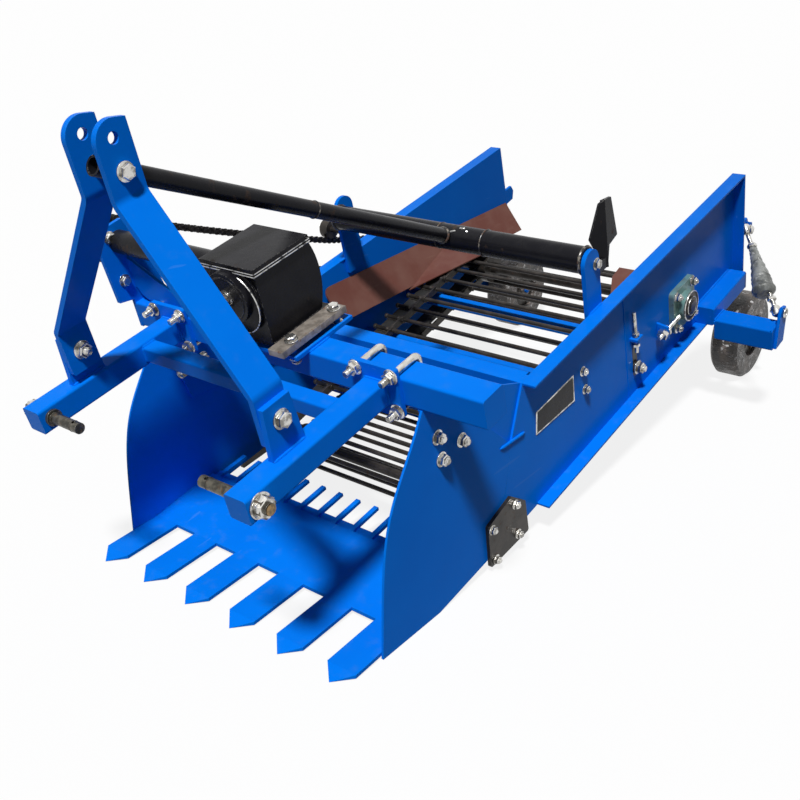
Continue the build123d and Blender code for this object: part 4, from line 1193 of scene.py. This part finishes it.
class HARVESTER_OT_wheel_hubs(bpy.types.Operator):
    """Discs with bolts, tread ribs and axle nuts of the depth wheels"""

    bl_idname = "harvester.wheel_hubs"
    bl_label = "Wheel hubs"

    def execute(self, context):
        maker = Maker()
        low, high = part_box("wheel_left")
        axle = (low + high) / 2
        radius = (high.z - low.z) / 2 / MM
        disc_face, bolt_face, bolt_circle, rib_gap, nut_face = 25.2, 28.4, 40, 22.0, 449.0
        disc = [(58.0, 0), (58.0, 1.6), (52.0, 3.0), (30.0, 3.4), (26.0, 8.0), (16.0, 9.0)]
        for name, sign, outward in SIDES:
            centre = Vector((axle.x * sign, axle.y, axle.z))
            for side in (outward, -outward):
                maker.turned(centre + side * (disc_face * MM), side, disc, 48)
                for step in range(5):
                    angle = 2 * math.pi * step / 5
                    turned = Vector((0, math.cos(angle), math.sin(angle)))
                    spot = centre + side * (bolt_face * MM) + turned * (bolt_circle * MM)
                    maker.head(spot, side, 7.0, angle)
            maker.done(f"wheel_disc_{name}", "dark_steel", body=f"wheel_{name}")
            for away in (-rib_gap, 0.0, rib_gap):
                maker.hoop(centre + outward * (away * MM), outward, radius - 3.2, 2.6, 72, 2.6)
            maker.done(f"wheel_tread_{name}", "wheel_rubber", "wheel_film", body=f"wheel_{name}")
            end = Vector((sign * nut_face * MM, axle.y, axle.z))
            maker.bolt(end, outward, 15.0, 0.4, 0.3)
            maker.done(f"axle_nut_{name}", "zinc_steel")
        return {"FINISHED"}


# Seams on either side: two ends, each across, back and up in mm, and a radius or the set one
SEAMS = (
    ((281.5, -303, 22.5), (281.5, -225, 22.5), 3.4),
    ((268.5, -303, 22.5), (268.5, -225, 22.5), 3.4),
    ((ARM_INNER, -41, -28), (ARM_INNER, -41, 22), None),
    ((ARM_OUTER, -41, -28), (ARM_OUTER, -41, 22), None),
    ((258, -41, -28), (306, -41, -28), None),
    ((258, -41, 22), (306, -41, 22), None),
    ((256.5, -139, 15), (256.5, -105, 15), None),
    ((256.5, -139, -21), (256.5, -105, -21), None),
    ((256.5, -140, -20), (256.5, -140, 14), None),
    ((371.5, -28, -30.5), (371.5, 28, -30.5), 3.4),
    ((371.5, 30.5, -29), (371.5, 30.5, -2), 3.4),
    ((371.8, 173, -261), (371.8, 261, -279), 4.0),
    ((371.3, 700, -176), (371.3, 706, -478), 1.6),
    ((371.6, 1088, -435), (371.6, 1298, -435), 3.6),
    ((371.6, 1085, -484), (371.6, 1085, -437), 3.4),
    ((372.0, 1300.5, -484), (420.0, 1300.5, -484), 2.6),
    ((421.3, 1090, -470), (421.3, 1150, -470), 3.2),
    ((421.3, 1089.5, -484), (421.3, 1089.5, -472), 3.2),
    ((571.0, 1090, -470), (574.0, 1150, -470), 2.4),
    ((371.4, 1329, -168), (371.4, 1329, -300), 1.8),
)
FLECKS = (
    ((6, 562, -24), (24, 569, -20)),
    ((30, 577, -17.5), (44, 580, -17.2)),
    ((-22, 569, -20), (-12, 563, -23)),
    ((52, 572, -19), (58, 570, -20)),
)


class HARVESTER_OT_welds(bpy.types.Operator):
    """Weld seams of the painted frame and the black tubes, with a few bright flecks"""

    bl_idname = "harvester.welds"
    bl_label = "Weld seams"

    def execute(self, context):
        maker = Maker()
        for name, sign, _ in SIDES:
            for first, second, size in SEAMS:
                ends = [at(sign * x, back, up) for x, back, up in (first, second)]
                maker.bead(*ends, size)
            upright_end = 616 if sign > 0 else 640
            maker.bead(at(sign * 366.5, 560, -166), at(sign * 366.5, upright_end, -166), 3.2)
            maker.bead(level(sign * 365.0, -80, 19), level(sign * 365.0, 80, 50), 2.6)
            maker.done(f"weld_seams_{name}", "blue_paint")
        for number in range(5):
            middle = (number - 2) * TOOTH_PITCH
            spot = level(middle - 29.0, -91.0, 13.0)
            maker.bead(spot - ACROSS * 0.005, spot + ACROSS * 0.007, 2.4)
        for x in (-116.0, 116.0):
            maker.bead(at(x, -29, 30.5), at(x, 29, 30.5), 3.0)
        maker.bead(at(-404.5, -26, -28), at(-404.5, -26, 28), 2.6)
        maker.done("weld_seams_middle", "blue_paint")
        brace = at(0, *CROSS_TUBE) - at(0, *MAST_HEAD)
        direction = brace.normalized()
        for part, wire in ((0.03, 1.6), (0.5, 1.4), (0.958, 3.2)):
            maker.hoop(at(0, *MAST_HEAD) + brace * part, direction, 17.0, wire, 32)
        for x, wire in ((-30.0, 1.2), (97.0, 1.8), (352.0, 3.0), (-352.0, 3.0)):
            maker.hoop(at(x, *CROSS_TUBE), ACROSS, 30.4, wire, 40)
        maker.done("weld_seams_black", "black_paint", "scuffed_black")
        for first, second in FLECKS:
            maker.bead(at(*first), at(*second), 2.6)
        maker.done("weld_flecks", "zinc_steel", "rubbed_and_highlight_edge")
        return {"FINISHED"}


def direct_view(shader):
    """1 for what the camera, a reflection or glass sees, 0 for light that falls on things."""
    path = shader.node("ShaderNodeLightPath")
    camera, glossy, clear = (Sock(shader, path.outputs[name]) for name in (
        "Is Camera Ray", "Is Glossy Ray", "Is Transmission Ray"))
    return (camera + glossy + clear).clipped()


# The camera that was fitted to the photograph, in degrees, millimetres of lens and metres
CAMERA_AZIMUTH, CAMERA_ELEVATION, CAMERA_ROLL = 39.75, 24.89, -2.41
CAMERA_LENS = 45.2
CAMERA_DISTANCE = 2.2469
CAMERA_TARGET = Vector((0.0578, BEAM_Y + 0.2939, 0.2738))
SUN_ENERGY, SUN_ANGLE, SUN_RUN = 3.45, 7, Vector((-0.24, 0.45, -0.86))
FLOOR_GLOW, WORLD_LIGHT = 0.85, 0.12


class HARVESTER_OT_stage(bpy.types.Operator):
    """Pale floor, sun, plain world and the camera"""

    bl_idname = "harvester.stage"
    bl_label = "Studio and camera"

    def execute(self, context):
        scene = context.scene
        mesh = bmesh.new()
        bmesh.ops.create_circle(mesh, cap_ends=True, segments=96, radius=60.0)
        data = bpy.data.meshes.new("studio_floor")
        mesh.to_mesh(data)
        mesh.free()
        floor = bpy.data.objects.new("studio_floor", data)
        floor.location.z = -0.0005
        scene.collection.objects.link(floor)
        pale = Finish("pale_floor")
        seen = direct_view(pale)
        diffuse = pale.node("ShaderNodeBsdfDiffuse", None,
                            {"Color": (*colours().floor, 1.0)}).outputs[0]
        glow = pale.node("ShaderNodeEmission", None,
                         {"Color": (1, 1, 1, 1), "Strength": seen * FLOOR_GLOW}).outputs[0]
        both = pale.node("ShaderNodeAddShader", None, {0: diffuse, 1: glow})
        pale.join(both.outputs[0], pale.output.inputs[0])
        data.materials.append(pale.material)

        world = bpy.data.worlds.new("studio_world")
        scene.world = world
        sky = Shader(world)
        output = sky.node("ShaderNodeOutputWorld")
        strength = direct_view(sky) * (1 - WORLD_LIGHT) + WORLD_LIGHT
        shade = sky.node("ShaderNodeBackground", None,
                         {"Color": (1, 1, 1, 1), "Strength": strength})
        sky.join(shade.outputs[0], output.inputs[0])

        sun = bpy.data.lights.new("key_sun", "SUN")
        sun.energy = SUN_ENERGY
        sun.angle = math.radians(SUN_ANGLE)
        sun_object = bpy.data.objects.new("key_sun", sun)
        sun_object.rotation_euler = SUN_RUN.to_track_quat("-Z", "Y").to_euler()
        scene.collection.objects.link(sun_object)

        camera = bpy.data.cameras.new("photo_camera")
        camera.sensor_width = 36.0
        camera.lens = CAMERA_LENS
        view = bpy.data.objects.new("photo_camera", camera)
        azimuth, elevation, roll = (
            math.radians(v) for v in (CAMERA_AZIMUTH, CAMERA_ELEVATION, CAMERA_ROLL))
        away = Vector((math.sin(azimuth) * math.cos(elevation),
                       -math.cos(azimuth) * math.cos(elevation), math.sin(elevation)))
        right = Vector((math.cos(azimuth), math.sin(azimuth), 0))
        upward = away.cross(right)
        tilt_right = right * math.cos(roll) + upward * math.sin(roll)
        tilt_up = upward * math.cos(roll) - right * math.sin(roll)
        turned = Matrix((tilt_right, tilt_up, away)).transposed().to_4x4()
        view.matrix_world = Matrix.Translation(CAMERA_TARGET + away * CAMERA_DISTANCE) @ turned
        scene.collection.objects.link(view)
        scene.camera = view
        scene.view_settings.view_transform = "Standard"
        return {"FINISHED"}


STEPS = (
    HARVESTER_OT_finishes,
    HARVESTER_OT_clamp_nuts,
    HARVESTER_OT_mast_bolts,
    HARVESTER_OT_hitch_nuts,
    HARVESTER_OT_plate_bolts,
    HARVESTER_OT_gearbox_trim,
    HARVESTER_OT_name_plate,
    HARVESTER_OT_side_tensioners,
    HARVESTER_OT_bearing_trim,
    HARVESTER_OT_chain,
    HARVESTER_OT_web,
    HARVESTER_OT_depth_links,
    HARVESTER_OT_wheel_hubs,
    HARVESTER_OT_welds,
    HARVESTER_OT_stage,
)


class HARVESTER_PT_panel(bpy.types.Panel):
    """Lists the steps that dress the harvester"""

    bl_idname = "HARVESTER_PT_panel"
    bl_label = "Potato harvester"
    bl_space_type = "VIEW_3D"
    bl_region_type = "UI"
    bl_category = "Harvester"

    def draw(self, context):
        for step in STEPS:
            self.layout.operator(step.bl_idname)


CLASSES = (HarvesterColours, HarvesterSizes, *STEPS, HARVESTER_PT_panel)


def register():
    for made in CLASSES:
        bpy.utils.register_class(made)
    bpy.types.Scene.harvester_colours = PointerProperty(type=HarvesterColours)
    bpy.types.Scene.harvester_sizes = PointerProperty(type=HarvesterSizes)


def unregister():
    del bpy.types.Scene.harvester_sizes
    del bpy.types.Scene.harvester_colours
    for made in reversed(CLASSES):
        bpy.utils.unregister_class(made)


def write_sizes():
    """Only imports json; writes nothing."""
    import json


def main():
    register()
    for step in STEPS:
        group, name = step.bl_idname.split(".")
        getattr(getattr(bpy.ops, group), name)()
    write_sizes()


if __name__ == "__main__":
    main()
